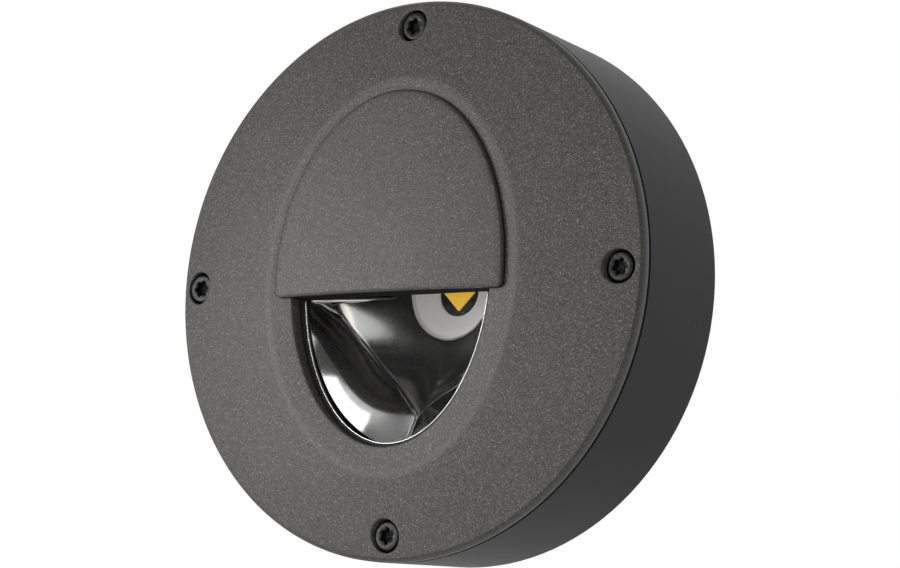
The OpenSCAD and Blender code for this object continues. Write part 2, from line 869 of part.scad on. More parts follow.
// The pressed sheet, front and back, closed at its edges
module bowl_sheet() {
    rows = 2 * fold_rows + 2;
    count = (bowl_steps + 1) * rows;
    front = [for (i = [0 : bowl_steps]) for (j = [0 : rows - 1]) bowl_point(i, j)];
    points = concat([for (p = front) [p[0], -p[1], p[2]]], [for (p = front) [p[0], bowl_t - p[1], p[2]]]);
    skin = [for (i = [0 : bowl_steps - 1]) for (j = [0 : rows - 2])
        let (a = i * rows + j, b = a + rows)
            each [[a, b, a + 1], [b, b + 1, a + 1], [count + a, count + a + 1, count + b],
                [count + b, count + a + 1, count + b + 1]]];
    hole_edge = [for (i = [0 : bowl_steps - 1])
        let (a = i * rows, b = a + rows) each [[a, count + a, b], [b, count + a, count + b]]];
    rim_edge = [for (i = [0 : bowl_steps - 1])
        let (a = i * rows + rows - 1, b = a + rows) each [[a, b, count + a], [b, count + b, count + a]]];
    left_edge = [for (j = [0 : rows - 2])
        each [[j, j + 1, count + j], [j + 1, count + j + 1, count + j]]];
    right_edge = [for (j = [0 : rows - 2])
        let (a = bowl_steps * rows + j) each [[a, count + a, a + 1], [a + 1, count + a, count + a + 1]]];
    polyhedron(points, concat(skin, hole_edge, rim_edge, left_edge, right_edge));
}

module reflector() {
    color("#c9ccce")
    union() {
        bowl_sheet();
        for (side = [0, 1])
            mirror([side, 0, 0])
                slab(post_h, post_h + lug_t)
                    difference() {
                        translate([0, lug_z - lug_w / 2])
                            square([post_x + lug_w / 2, lug_w]);
                        oval(bowl_a - lug_bite, bowl_b - lug_bite);
                        translate([post_x, lug_z])
                            circle(r = small_shank_r + through_fit);
                    }
    }
}

module reflector_screws() {
    color("#b9bbbd")
    both_sides(post_x, lug_z) screw(small_head_r, small_head_h, small_shank_r, small_shank_l, post_h + lug_t);
}

module lamp_ring() {
    color("#d9dadc")
    difference() {
        turned([
            [ring_hole_r, board_d],
            [ring_hole_r, board_d + ring_gap],
            [ring_r - ring_lip, ring_d - ring_lip / 2],
            [ring_r - ring_lip / 2, ring_d],
            [ring_r, ring_d - ring_lip / 2],
            [ring_r, board_d + ring_flange_t],
            [ring_flange_r, board_d + ring_flange_t],
            [ring_flange_r, board_d]
        ]);
        at_lamp_screws() bar(lamp_shank_r + through_fit, board_d - cut, board_d + ring_flange_t + cut);
        at_lamp_screws() bar(lamp_head_r + through_fit, board_d + ring_flange_t, ring_d + cut);
        block(-ring_notch_w / 2, ring_notch_w / 2, board_d - cut, ring_d + cut, ring_r + ring_lip,
            ring_flange_r + cut);
    }
}

module lamp_chip() {
    color("#d4a437")
    slab(board_d, board_d + chip_t)
        rotate(45)
            square(chip_side, center = true);
}

module lamp_board() {
    color("#1d2a22")
    difference() {
        bar(board_r, board_back_d, board_d);
        at_lamp_screws() bar(lamp_shank_r + through_fit, board_back_d - cut, board_d + cut);
    }
}

module thermal_pad() {
    color("#8f9aa6")
    difference() {
        bar(board_r - pad_inset / 2, seat_d, board_back_d);
        at_lamp_screws() bar(lamp_shank_r + 2 * through_fit, seat_d - cut, board_back_d + cut);
    }
}

module lamp_screws() {
    color("#b9bbbd")
    at_lamp_screws() screw(lamp_head_r, lamp_head_h, lamp_shank_r, lamp_shank_l, board_d + ring_flange_t);
}

// Slots in the driver's ends that the leads pass through
module driver_lead_holes() {
    for (i = [0, 1])
        for (place = [mains_entry(i), lamp_entry(i)])
            block(place[0] - driver_wall - cut, place[0] + driver_wall + cut, lead_d - lead_hole_r, driver_d,
                place[2] - lead_hole_r, place[2] + lead_hole_r);
}

module driver_case() {
    top = driver_d - lid_t;
    tab_seat = floor_t + tab_boss_h;
    color("#e4e4e0")
    difference() {
        union() {
            difference() {
                block(-driver_half_l, driver_half_l, floor_t, top, driver_z, driver_top_z);
                block(driver_wall - driver_half_l, driver_half_l - driver_wall, floor_t + driver_wall,
                    top + cut, driver_z + driver_wall, driver_top_z - driver_wall);
            }
            both_sides(driver_half_l - driver_wall - ledge_w / 2)
                block(-ledge_w / 2, ledge_w / 2, floor_t, circuit_d, driver_z + driver_wall,
                    driver_top_z - driver_wall);
            for (i = [0, 1])
                translate([tab_place(i)[0], 0, tab_place(i)[1]])
                    block(-tab_l / 2, tab_l / 2, tab_seat, tab_seat + tab_t, -tab_w / 2, tab_w / 2);
        }
        for (i = [0, 1])
            bar(small_shank_r + through_fit, tab_seat - cut, tab_seat + tab_t + cut, tab_place(i)[0],
                tab_place(i)[1]);
        driver_lead_holes();
    }
}

module driver_lid() {
    inset = driver_wall + circuit_fit;
    top = driver_d - lid_t;
    color("#d3d3cf")
    union() {
        block(-driver_half_l, driver_half_l, top, driver_d, driver_z, driver_top_z);
        block(inset - driver_half_l, driver_half_l - inset, top - lid_t, top + lid_t / 2, driver_z + inset,
            driver_top_z - inset);
    }
}

module driver_board() {
    inset = driver_wall + circuit_fit;
    color("#2f6b3f")
    block(inset - driver_half_l, driver_half_l - inset, circuit_d, circuit_d + circuit_t, driver_z + inset,
        driver_top_z - inset);
}

// Ferrite core with its winding between the two outer legs
module driver_coil() {
    seat = circuit_d + circuit_t;
    length = coil_l_share * driver_l;
    width = coil_w_share * driver_w;
    leg = core_share * length;
    color("#7a4a26")
    translate([coil_x_share * driver_l, 0, driver_z + driver_w / 2])
        union() {
            both_sides((length - leg) / 2) block(-leg / 2, leg / 2, seat, seat + coil_h, -width / 2, width / 2);
            block(-length / 2, length / 2, seat + core_over, seat + coil_h - core_over,
                core_over - width / 2, width / 2 - core_over);
        }
}

module driver_capacitors() {
    seat = circuit_d + circuit_t;
    color("#1f2d4f")
    for (share = capacitor_x_shares)
        bar(capacitor_r_share * driver_w, seat, seat + capacitor_h, share * driver_l, driver_z + driver_w / 2);
}

module driver_screws() {
    color("#b9bbbd")
    for (i = [0, 1])
        translate([tab_place(i)[0], 0, tab_place(i)[1]])
            screw(small_head_r, small_head_h, small_shank_r, small_shank_l, floor_t + tab_boss_h + tab_t);
}

// Three-pole block: clamp wells in the front, lead entries in both sides, one tab for its screw
module terminal_block() {
    color("#e8e6df")
    difference() {
        union() {
            block(terminal_x, terminal_x + terminal_w, terminal_d, terminal_d + terminal_h, terminal_z,
                terminal_z + terminal_l);
            block(terminal_screw_x - tab_w / 2, terminal_screw_x + tab_w / 2, terminal_d,
                terminal_d + terminal_tab_t, terminal_z + terminal_l - cut, terminal_tab_top);
        }
        for (pole = [0 : terminal_poles - 1]) {
            bar(well_r, terminal_d + terminal_h - well_h, terminal_d + terminal_h + cut,
                terminal_x + terminal_w / 2, pole_z(pole));
            for (side = [0, 1])
                translate([terminal_x + side * terminal_w, -entry_d, pole_z(pole)])
                    rotate([0, side * 180, 0])
                        translate([-cut, 0, 0])
                            rotate([0, 90, 0])
                                cylinder(r = entry_r, h = entry_h + cut);
        }
        bar(small_shank_r + through_fit, terminal_d - cut, terminal_d + terminal_tab_t + cut,
            terminal_screw_x, terminal_screw_z);
    }
}

module clamp_screws() {
    color("#c8b273")
    for (pole = [0 : terminal_poles - 1])
        translate([terminal_x + terminal_w / 2, 0, pole_z(pole)])
            difference() {
                bar(clamp_r, terminal_d + terminal_h - well_h, terminal_d + terminal_h - well_h + clamp_h);
                block(-well_r, well_r, terminal_d + terminal_h - well_h + clamp_h - slot_h,
                    terminal_d + terminal_h, -slot_w / 2, slot_w / 2);
            }
}

module terminal_screw() {
    color("#b9bbbd")
    translate([terminal_screw_x, 0, terminal_screw_z])
        screw(small_head_r, small_head_h, small_shank_r, small_shank_l, terminal_d + terminal_tab_t);
}

module earth_screw() {
    color("#c8b273")
    translate([earth_x, 0, earth_z])
        screw(earth_head_r, earth_head_h, earth_shank_r, earth_shank_l, floor_t + earth_boss_h + tag_t);
}

// Ring tag with a crimped barrel for the earth lead
module earth_tag() {
    seat = floor_t + earth_boss_h;
    color("#c9c4b4")
    difference() {
        union() {
            bar(tag_r, seat, seat + tag_t, earth_x, earth_z);
            block(earth_x - crimp_r, earth_x + crimp_r, seat, seat + tag_t, earth_z, crimp_z + crimp_l / 2);
            translate([earth_x, -crimp_d, crimp_z])
                cylinder(r = crimp_r, h = crimp_l);
        }
        bar(earth_shank_r + through_fit, seat - cut, seat + tag_t + cut, earth_x, earth_z);
        translate([earth_x, -crimp_d, crimp_z + crimp_wall])
            cylinder(r = lead_hole_r, h = crimp_l);
    }
}

module live_lead() {
    color("#6b3f22")
    lead(mains_route(1, 0));
}

module neutral_lead() {
    color("#2f62b5")
    lead(mains_route(2, 1));
}

module earth_lead() {
    color("#7fae2c")
    lead(earth_route());
}

module lamp_lead_plus() {
    color("#a3271f")
    lead(lamp_route(0, 1, lamp_plus_out, lamp_plus_round, lamp_plus_last));
}

module lamp_lead_minus() {
    color("#202020")
    lead(lamp_route(1, -1, lamp_minus_out, lamp_minus_round, lamp_minus_last));
}

// Rubber seal round the cable, held in the housing's back by its lip and flange
module grommet(blind) {
    turned(concat(
        [
            [cable_r, 0],
            [grommet_lip_r, 0],
            [grommet_lip_r, grommet_lip_t],
            [grommet_hole_r - rubber_fit, grommet_lip_t],
            [grommet_hole_r - rubber_fit, floor_t],
            [grommet_flange_r, floor_t],
            [grommet_flange_r, floor_t + grommet_flange_t],
            [cable_r + grommet_nose_w, floor_t + grommet_flange_t],
            [cable_r + grommet_end_w, floor_t + grommet_flange_t + grommet_nose_h],
            [cable_r, floor_t + grommet_flange_t + grommet_nose_h]
        ],
        blind ? [[cable_r, floor_t + membrane_t], [0, floor_t + membrane_t], [0, floor_t], [cable_r, floor_t]]
            : []
    ));
}

module cable_grommet() {
    color("#1c1c1c")
    translate([entry_x, 0, entry_z])
        grommet(false);
}

module blind_grommet() {
    color("#1c1c1c")
    translate([-entry_x, 0, entry_z])
        grommet(true);
}

module fixing_seals() {
    seat = floor_t + fixing_boss_h;
    color("#1c1c1c")
    both_sides(fixing_x)
        difference() {
            bar(fixing_seal_r, seat, seat + fixing_seal_t);
            bar(fixing_hole_r + through_fit, seat - cut, seat + fixing_seal_t + cut);
        }
}

module wall_gasket() {
    color("#202020")
    slab(0, wall_gasket_t) wall_ring(rubber_fit);
}

// Breather plug with slots round its head
module pressure_vent() {
    color("#33373b")
    translate([0, 0, vent_z])
        difference() {
            union() {
                bar(vent_hole_r - rubber_fit, vent_recess, floor_t + cut);
                bar(vent_head_r, floor_t, floor_t + vent_head_h);
            }
            for (turn = [0 : vent_slots - 1])
                rotate([0, turn * 360 / vent_slots, 0])
                    block(vent_head_r - vent_slot_h, vent_head_r + cut, floor_t + vent_head_h / 2,
                        floor_t + vent_head_h + cut, -vent_slot_w / 2, vent_slot_w / 2);
        }
}

rear_housing();
front_cover();
front_gasket();
cover_screws();
glass_pane();
glass_seal();
window_trim();
glass_frame();
frame_screws();
reflector();
reflector_screws();
lamp_ring();
lamp_chip();
lamp_board();
thermal_pad();
lamp_screws();
driver_case();
driver_lid();
driver_board();
driver_coil();
driver_capacitors();
driver_screws();
terminal_block();
clamp_screws();
terminal_screw();
earth_screw();
earth_tag();
live_lead();
neutral_lead();
earth_lead();
lamp_lead_plus();
lamp_lead_minus();
cable_grommet();
blind_grommet();
fixing_seals();
wall_gasket();
pressure_vent();
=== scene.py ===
"""Round wall spotlight: a cast graphite body, a shield over the upper half of an oval window, and a mirror
reflector with a small lamp behind glass. The camera and the studio come first, then the cover, its screws and
the housing, then what lies in the window, from the seal to the lamp, and last the hidden inside. Lengths are
in millimetres and are turned to metres where a mesh is made. Depths are distances from the wall, towards the
front."""

import bpy
import numpy as np
from mathutils import Matrix, Vector


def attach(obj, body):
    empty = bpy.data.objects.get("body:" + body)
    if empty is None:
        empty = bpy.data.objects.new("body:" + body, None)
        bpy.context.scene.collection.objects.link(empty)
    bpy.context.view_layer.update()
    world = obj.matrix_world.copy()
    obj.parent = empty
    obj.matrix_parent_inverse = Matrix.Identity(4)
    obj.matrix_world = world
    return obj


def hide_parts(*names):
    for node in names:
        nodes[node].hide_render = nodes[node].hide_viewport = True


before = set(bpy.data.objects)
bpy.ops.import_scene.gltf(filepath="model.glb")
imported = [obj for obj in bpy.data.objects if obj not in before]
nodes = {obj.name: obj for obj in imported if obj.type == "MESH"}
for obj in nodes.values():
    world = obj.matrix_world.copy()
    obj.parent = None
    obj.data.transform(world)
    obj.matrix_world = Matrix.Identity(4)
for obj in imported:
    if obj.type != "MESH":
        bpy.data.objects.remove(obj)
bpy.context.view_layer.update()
MM = 0.001


# The camera stands low and to the right of the light, well back, as for a catalogue picture. Its place, turn
# and lens were fitted to the body's outline, the joint, the window and the four screws.
camera_place = np.array([414.3, -594.3, -103.3])
camera_turn, camera_rise, camera_roll = np.radians([35.50, -8.36, 2.97])
camera_lens_px, image_width = 3078.84, 900

back = np.array([
    np.sin(camera_turn) * np.cos(camera_rise), -np.cos(camera_turn) * np.cos(camera_rise), np.sin(camera_rise)
])
rightward = np.array([np.cos(camera_turn), np.sin(camera_turn), 0])
upward = np.cross(back, rightward)
across = rightward * np.cos(camera_roll) + upward * np.sin(camera_roll)
upright = upward * np.cos(camera_roll) - rightward * np.sin(camera_roll)
lens = bpy.data.cameras.new("camera")
lens.sensor_width = 36
lens.lens = camera_lens_px * lens.sensor_width / image_width
lens.clip_start, lens.clip_end = 0.01, 20
camera = bpy.data.objects.new("camera", lens)
place = np.eye(4)
place[:3, :3] = np.stack([across, upright, back], axis=1)
place[:3, 3] = camera_place * MM
camera.matrix_world = Matrix(place)
bpy.context.scene.collection.objects.link(camera)
bpy.context.scene.camera = camera
bpy.context.scene.view_settings.view_transform = "Standard"


# The studio: a room that is white to the camera and behind the light, with a dark front in which metal
# mirrors a few softboxes, a wide pale floor well below the hanging light, and two square soft lamps in front
# of the light, a small one to the left and a large one to the right.
class Wire:
    """One socket of a finish. Sums and products of wires add Math nodes, with numbers on either side."""

    def __init__(self, finish, socket):
        self.finish, self.socket = finish, socket

    def maths(self, operation, *values):
        """The outcome of one Math node on values or wires."""
        return self.finish.node("Math", {"operation": operation}, dict(enumerate(values)))

    def __add__(self, other):
        return self.maths("ADD", self, other)

    def __sub__(self, other):
        return self.maths("SUBTRACT", self, other)

    def __rsub__(self, other):
        return self.maths("SUBTRACT", other, self)

    def __mul__(self, other):
        return self.maths("MULTIPLY", self, other)

    def __truediv__(self, other):
        return self.maths("DIVIDE", self, other)

    def __pow__(self, other):
        return self.maths("POWER", self, other)

    __radd__, __rmul__ = __add__, __mul__


class Finish:
    """A tree of shader nodes. node() adds any node: its type, its settings, then values or wires by
    socket."""

    def __init__(self, name, tree=None):
        if tree is None:
            self.material = bpy.data.materials.new(name)
            self.material.use_nodes = True
            tree = self.material.node_tree
        self.tree = tree
        self.tree.nodes.clear()

    def node(self, kind, settings=None, sockets=None, out=0):
        made = self.tree.nodes.new("ShaderNode" + kind)
        for name, value in (settings or {}).items():
            setattr(made, name, value)
        for name, value in (sockets or {}).items():
            if isinstance(value, Wire):
                self.tree.links.new(value.socket, made.inputs[name])
            else:
                made.inputs[name].default_value = value
        return Wire(self, made.outputs[out] if made.outputs else None)

    def blend(self, share, low, high):
        """A colour between two, by a share from 0 to 1."""
        return self.node("Mix", {"data_type": "RGBA"}, {0: share, 6: low, 7: high}, out=2)

    def place(self, stretch=(1, 1, 1)):
        """The piece's own coordinates in metres, stretched for a pattern."""
        coordinates = self.node("TexCoord", out=3)
        return self.node("Mapping", {}, {"Vector": coordinates, "Scale": stretch})

    def noise(self, grain, detail=2.0, rough=0.5, vector=None):
        """Cloudy values from 0 to 1 whose patches are about a grain wide, in millimetres."""
        vector = vector or self.place()
        return self.node("TexNoise", {}, {
            "Vector": vector, "Scale": 1 / (grain * MM), "Detail": detail, "Roughness": rough
        })

    def steps(self, value, low, high, to_low=0.0, to_high=1.0):
        """A value spread from one range to another, smoothly and held at both ends."""
        return self.node("MapRange", {"interpolation_type": "SMOOTHSTEP"}, {
            "Value": value, 1: low, 2: high, 3: to_low, 4: to_high
        })

    def bump(self, height, depth):
        """A relief of a height from 0 to 1, as deep as depth in millimetres."""
        return self.node("Bump", {}, {"Height": height, "Distance": depth * MM, "Strength": 1.0})

    def finish(self, **values):
        """Closes the material with one surface shader, its sockets named with underscores."""
        names = {name.replace("_", " "): value for name, value in values.items()}
        names.setdefault("Specular IOR Level", 0.5)
        shader = self.node("BsdfPrincipled", {}, names)
        self.node("OutputMaterial", {}, {"Surface": shader})
        return self.material


room = bpy.data.worlds.new("room")
bpy.context.scene.world = room
room.use_nodes = True
studio = Finish("room", room.node_tree)
heading = studio.node("SeparateXYZ", {}, {0: studio.node("TexCoord")})
wide, deep, high = (Wire(studio, heading.socket.node.outputs[axis]) for axis in range(3))
to_camera, to_gloss, to_glass = (studio.node("LightPath", out=output) for output in (0, 3, 6))


def softbox(turn, rise, roll, half_wide, half_high, soft_wide, soft_high):
    """A softbox as a share of 1 inside a rectangle of directions. Its axis is turned to the right of straight
    ahead and raised, it is rolled about that axis, and its half sides and soft edges are in degrees."""
    turn, rise, roll = np.radians([turn, rise, roll])
    middle = np.array([np.sin(turn) * np.cos(rise), -np.cos(turn) * np.cos(rise), np.sin(rise)])
    side = np.array([np.cos(turn), np.sin(turn), 0.0])
    top = np.cross(middle, side) * -1
    side, top = side * np.cos(roll) + top * np.sin(roll), top * np.cos(roll) - side * np.sin(roll)
    parts = [wide * float(v[0]) + deep * float(v[1]) + high * float(v[2]) for v in (side, top, middle)]
    ahead = parts[2].maths("MAXIMUM", parts[2], 0.01)
    inside = parts[2].maths("GREATER_THAN", parts[2], 0.0)
    for value, half, soft in ((parts[0], half_wide, soft_wide), (parts[1], half_high, soft_high)):
        off = value.maths("ABSOLUTE", value) / ahead
        near, far = np.tan(np.radians([max(half - soft, 0), half + soft]))
        inside = inside * studio.steps(off, near, far, 1.0, 0.0)
    return inside


# How bright metal sees the room, 1 being white: white behind the light, and in front of it nearly dark but
# for a faint glow from the floor, three softboxes overhead and a warm one straight ahead. What is dull is lit
# by soft_light.
behind = studio.steps(deep, -0.25, 0.1)
patch_light, glow_light, streak_light, warm_light = 1.6, 0.5, 0.12, 0.8
front_light, floor_glow, soft_light = 0.065, 0.15, 0.33
boxes = [
    softbox(2, 46, 16, 16, 5.2, 0.8, 1.2) * patch_light,
    softbox(-6, 58, 16, 18, 9, 6, 8) * glow_light,
    softbox(-46, 42, 0, 14, 9, 8, 7) * streak_light,
]
warm = softbox(-1, 3, 0, 12, 18, 4, 5)
from_below = studio.steps(high, -0.6, -0.2, floor_glow, 0.0)
front = sum(boxes, warm * warm_light + front_light + from_below)
mirrored = front.maths("MAXIMUM", front, behind)
plain = to_camera.maths("MAXIMUM", to_camera, to_glass)
other = 1 - plain.maths("MAXIMUM", plain, to_gloss)
strength = plain + to_gloss * mirrored + other * soft_light
air = studio.node("Background", {}, {
    "Color": studio.blend(warm * to_gloss, (1, 1, 1, 1), (1, 0.95, 0.85, 1)), "Strength": strength})
studio.node("OutputWorld", {}, {"Surface": air})


def lamp(name, spot, aim, size, power):
    """A square soft lamp at a spot, turned towards an aim, both in millimetres."""
    light = bpy.data.lights.new(name, "AREA")
    light.shape, light.size, light.energy = "SQUARE", size * MM, power
    made = bpy.data.objects.new(name, light)
    made.location = Vector(spot) * MM
    made.rotation_euler = (Vector(aim) - Vector(spot)).to_track_quat("-Z", "Y").to_euler()
    bpy.context.scene.collection.objects.link(made)


lamp("key_lamp", (-680, -740, 45), (0, 0, 0), 420, 4.5)
lamp("right_fill", (600, -870, -60), (0, 0, 0), 1250, 2.5)

floor_z, floor_size = -720, 2600


def skin(name, points, close_rows=False, close_columns=False, sharp=None):
    """A mesh over a grid of points in millimetres, rows by columns: every cell of four neighbours is a quad.
    close_rows joins the last row to the first, and close_columns the last column to the first."""
    points = np.asarray(points, float)
    rows, columns = points.shape[:2]
    index = np.arange(rows * columns).reshape(rows, columns)
    if close_rows:
        index = np.vstack([index, index[:1]])
    if close_columns:
        index = np.hstack([index, index[:, :1]])
    quads = np.stack([index[:-1, :-1], index[:-1, 1:], index[1:, 1:], index[1:, :-1]], axis=-1).reshape(-1, 4)
    return solid(name, points.reshape(-1, 3), quads, sharp=sharp)


def solid(name, points, quads, fans=(), sharp=None):
    """A mesh object from points in millimetres, an array of quads and a list of larger faces."""
    mesh = bpy.data.meshes.new(name)
    mesh.from_pydata((np.asarray(points) * MM).tolist(), [], [*np.asarray(quads).tolist(), *fans])
    mesh.polygons.foreach_set("use_smooth", np.ones(len(mesh.polygons), bool))
    if sharp is not None:
        mesh.set_sharp_from_angle(angle=np.radians(sharp))
    made = bpy.data.objects.new(name, mesh)
    bpy.context.scene.collection.objects.link(made)
    return made


def paint(thing, material):
    """Gives a piece one material in place of any that it has."""
    thing.data.materials.clear()
    thing.data.materials.append(material)


grid = np.stack(np.meshgrid([-1.0, 1.0], [-1.0, 1.0]), axis=-1) * floor_size
floor = skin("floor", np.dstack([grid, np.full((2, 2), float(floor_z))]))
pale = Finish("pale_floor")
cloud = pale.noise(60, 3)
to_eye, to_mirror = (pale.node("LightPath", out=output) for output in (0, 3))
seen = to_eye.maths("MAXIMUM", to_eye, to_mirror)
paint(floor, pale.finish(
    Base_Color=pale.blend(cloud, (0.8, 0.8, 0.8, 1), (0.84, 0.84, 0.84, 1)), Roughness=0.9,
    Emission_Color=pale.blend(seen, (0, 0, 0, 1), (0.45, 0.45, 0.45, 1)), Emission_Strength=1.0))


# Face of the front cover: cast aluminium, a shallow dome with an oval dish pressed into it round the window.
# It is painted with a graphite powder whose fine grain sparkles, and four wells hold its screws.
body_r = 65
side_d = 32.55
dome_r = 283
crown_d = side_d + dome_r - np.sqrt(dome_r**2 - body_r**2)
crest_a, crest_b = 34.8, 45.6
window_a, window_b = 28.0, 39.1
land_d = 31.4
dish_slope = 0.16
screw_ring_r = 59.1
well_r, well_d, well_edge = 3.85, 30.25, 0.35
turns = 432
patch, patch_cell = 12, 0.8


def dome(x, z, proud=0.0):
    """Depth of the domed face: a ball of radius dome_r whose top lies at crown_d, or larger by proud."""
    return np.sqrt((dome_r + proud) ** 2 - x**2 - z**2) - dome_r + crown_d


def dish(x, z):
    """Depth of the dish: the dome, less a slope for every millimetre inside the oval crest. The distance to
    the crest is how much the oval's equation lacks of 1, over its gradient."""
    ratio = np.sqrt((x / crest_a) ** 2 + (z / crest_b) ** 2)
    inset = (1 - ratio) * ratio / np.sqrt((x / crest_a**2) ** 2 + (z / crest_b**2) ** 2)
    return dome(x, z) - dish_slope * inset


def face(x, z, soft=0.2):
    """The lower of dome and dish, with their crest rounded over a height of soft."""
    low, high = dome(x, z), dish(x, z)
    near = np.clip(soft - np.abs(low - high), 0, None)
    return np.minimum(low, high) - near**2 / (4 * soft)


def oval(a, b, angle):
    """Points of an upright oval and its outward normals, by the angle along it."""
    points = np.stack([a * np.cos(angle), b * np.sin(angle)], axis=-1)
    normals = np.stack([b * np.cos(angle), a * np.sin(angle)], axis=-1)
    return points, normals / np.linalg.norm(normals, axis=-1, keepdims=True)


def on_face(plan, depth=None):
    """Points x and z with their depth, or with the face's depth, as points in the CAD frame."""
    depth = face(plan[..., 0], plan[..., 1]) if depth is None else np.broadcast_to(depth, plan.shape[:-1])
    return np.stack([plan[..., 0], -depth, plan[..., 1]], axis=-1)


angle = np.arange(turns) * 2 * np.pi / turns
ring = np.stack([np.cos(angle), np.sin(angle)], axis=-1)
edge, outward = oval(window_a, window_b, angle)
fillet = 0.4
rise = (dish(*(edge + outward * 0.8).T) - dish(*(edge + outward * 0.2).T)) / 0.6
lean = np.arctan(rise)
meet = edge + outward * (fillet * (1 - np.sin(lean)))[:, None]
centre_d = dish(*meet.T) - fillet * np.cos(lean)
# Rows of the face from the window outwards: window wall, its fillet, dish, crest, dome with a band for the
# screws, rim, and the back of the cover to the window again.
face_rows = [on_face(edge, land_d + (centre_d - land_d) * share) for share in (0, 0.02, 0.3, 0.65, 0.97)]
for share in np.linspace(0, 1, 7):
    sweep = share * (np.pi / 2 - lean)
    plan = edge + outward * (fillet * (1 - np.cos(sweep)))[:, None]
    face_rows.append(on_face(plan, centre_d + fillet * np.sin(sweep)))
crest, crest_out = oval(crest_a, crest_b, angle)
crest_half, crest_lines = 1.2, 17
crest_shift = np.linspace(-crest_half, crest_half, crest_lines)
between = np.linspace(0, 1, 12)[1:-1]
for share in between:
    face_rows.append(on_face(meet + (crest - crest_out * crest_half - meet) * share))
crest_row = len(face_rows)
for shift in crest_shift:
    face_rows.append(on_face(crest + crest_out * shift))
band = screw_ring_r + np.arange(patch + 1) * patch_cell - patch_cell / 2 * patch
start = crest + crest_out * crest_half
for share in between:
    face_rows.append(on_face(start + (ring * band[0] - start) * share))
band_row = len(face_rows)
for r in band:
    face_rows.append(on_face(ring * r))
rim_r = 64.2
rim_d = float(dome(rim_r, 0))
rim_falls = ((rim_r - 0.1, -0.01), (rim_r, 0.01), (64.27, 0.06), (64.33, 0.14), (64.88, 0.74), (64.96, 0.86),
             (body_r, 1.02))
back_profile = ((body_r, 31.2), (body_r, 30.6), (64.9, 30.4), (64.7, 30.3), (64.4, 30.3), (60, 30.3),
                (52.3, 30.3), (52, 30.4), (52, 31.2), (51.8, land_d))
for r, fall in rim_falls:
    face_rows.append(on_face(ring * r, rim_d - fall))
for r, d in back_profile:
    face_rows.append(on_face(ring * r, d))
face_rows.append(on_face(edge + outward * 3, land_d))
face_rows = np.array(face_rows)
face_points = face_rows.shape[0] * turns
face_index = np.arange(face_points).reshape(face_rows.shape[0], turns)
closed = np.vstack([face_index, face_index[:1]])
closed = np.hstack([closed, closed[:, :1]])
cells = np.stack([closed[:-1, :-1], closed[1:, :-1], closed[1:, 1:], closed[:-1, 1:]], axis=-1)
kept = np.ones(cells.shape[:2], bool)
points, quads, fans = [face_rows.reshape(-1, 3)], [], []
# A square patch of cells is left out round each screw, and loops run from its border to the well and down it.
well_profile = ((well_r, 31), (well_r, well_d + 0.1), (well_r - 0.1, well_d), (2.2, well_d))
for quarter in range(4):
    first = quarter * turns // 4 - patch // 2
    columns = np.arange(first, first + patch + 1) % turns
    kept[band_row:band_row + patch, columns[:-1]] = False
    block = face_index[band_row:band_row + patch + 1][:, columns]
    border = np.concatenate([block[0, :-1], block[:-1, -1], block[-1, :0:-1], block[:0:-1, 0]])
    around = face_rows.reshape(-1, 3)[border][:, [0, 2]]
    centre = screw_ring_r * ring[quarter * turns // 4]
    bearing = np.arctan2(*(around - centre).T[::-1])
    spoke = np.stack([np.cos(bearing), np.sin(bearing)], axis=-1)
    mouth = centre + spoke * (well_r + well_edge)
    loops = [on_face(around + (mouth - around) * share) for share in (0.3, 0.6, 0.85, 1)]
    for sweep in np.radians([22, 45, 68, 90]):
        plan = centre + spoke * (well_r + well_edge * (1 - np.sin(sweep)))
        loops.append(on_face(plan, face(*plan.T) - well_edge * (1 - np.cos(sweep))))
    for r, d in well_profile:
        loops.append(on_face(centre + spoke * r, d))
    loops = np.array(loops)
    added = face_points + np.arange(loops.shape[0] * len(border)).reshape(loops.shape[0], -1)
    face_points += added.size
    belt = np.vstack([border, added])
    belt = np.hstack([belt, belt[:, :1]])
    corners = [belt[:-1, :-1], belt[:-1, 1:], belt[1:, 1:], belt[1:, :-1]]
    quads.append(np.stack(corners, axis=-1).reshape(-1, 4))
    fans.append(added[-1].tolist())
    points.append(loops.reshape(-1, 3))
cover = solid("cover_face", np.vstack(points), np.vstack([cells[kept], *quads]), fans, sharp=50)


def mark(thing, name, values):
    """Keeps a number for each point of a piece as an attribute that its material reads."""
    kept_values = thing.data.attributes.new(name, "FLOAT", "POINT").data
    kept_values.foreach_set("value", np.asarray(values, float).ravel())


# A painted highlight lightens the crest all round, most on its middle line.
crest_light = np.zeros(face_points)
painted_highlight = 1 - (crest_shift / crest_half) ** 2
crest_light[crest_row * turns:(crest_row + crest_lines) * turns] = np.repeat(painted_highlight, turns)
mark(cover, "painted_highlight", crest_light)

# Where the powder is painted dark or turns smooth, as distances from the cover's axis and depths: a line of
# painted shade inside the rim, where the dome's edge turns down, the smooth rim beyond it, and painted shade
# on the insides of the window and of the wells.
shade_line_in, shade_line_out = (63.9, 64.2), (64.5, 64.8)
window_reach, window_floor = (48, 50), (33.5, 33.1)
wells_reach, wells_floor = (63.4, 63.6), (32.5, 32.1)
rim_tone, recess_shade_tone = (0.065, 0.067, 0.068, 1), (0.009, 0.009, 0.009, 1)
highlight_share, edge_shade_share, shade_line_share, rim_share = 0.18, 0.8, 0.5, 0.75


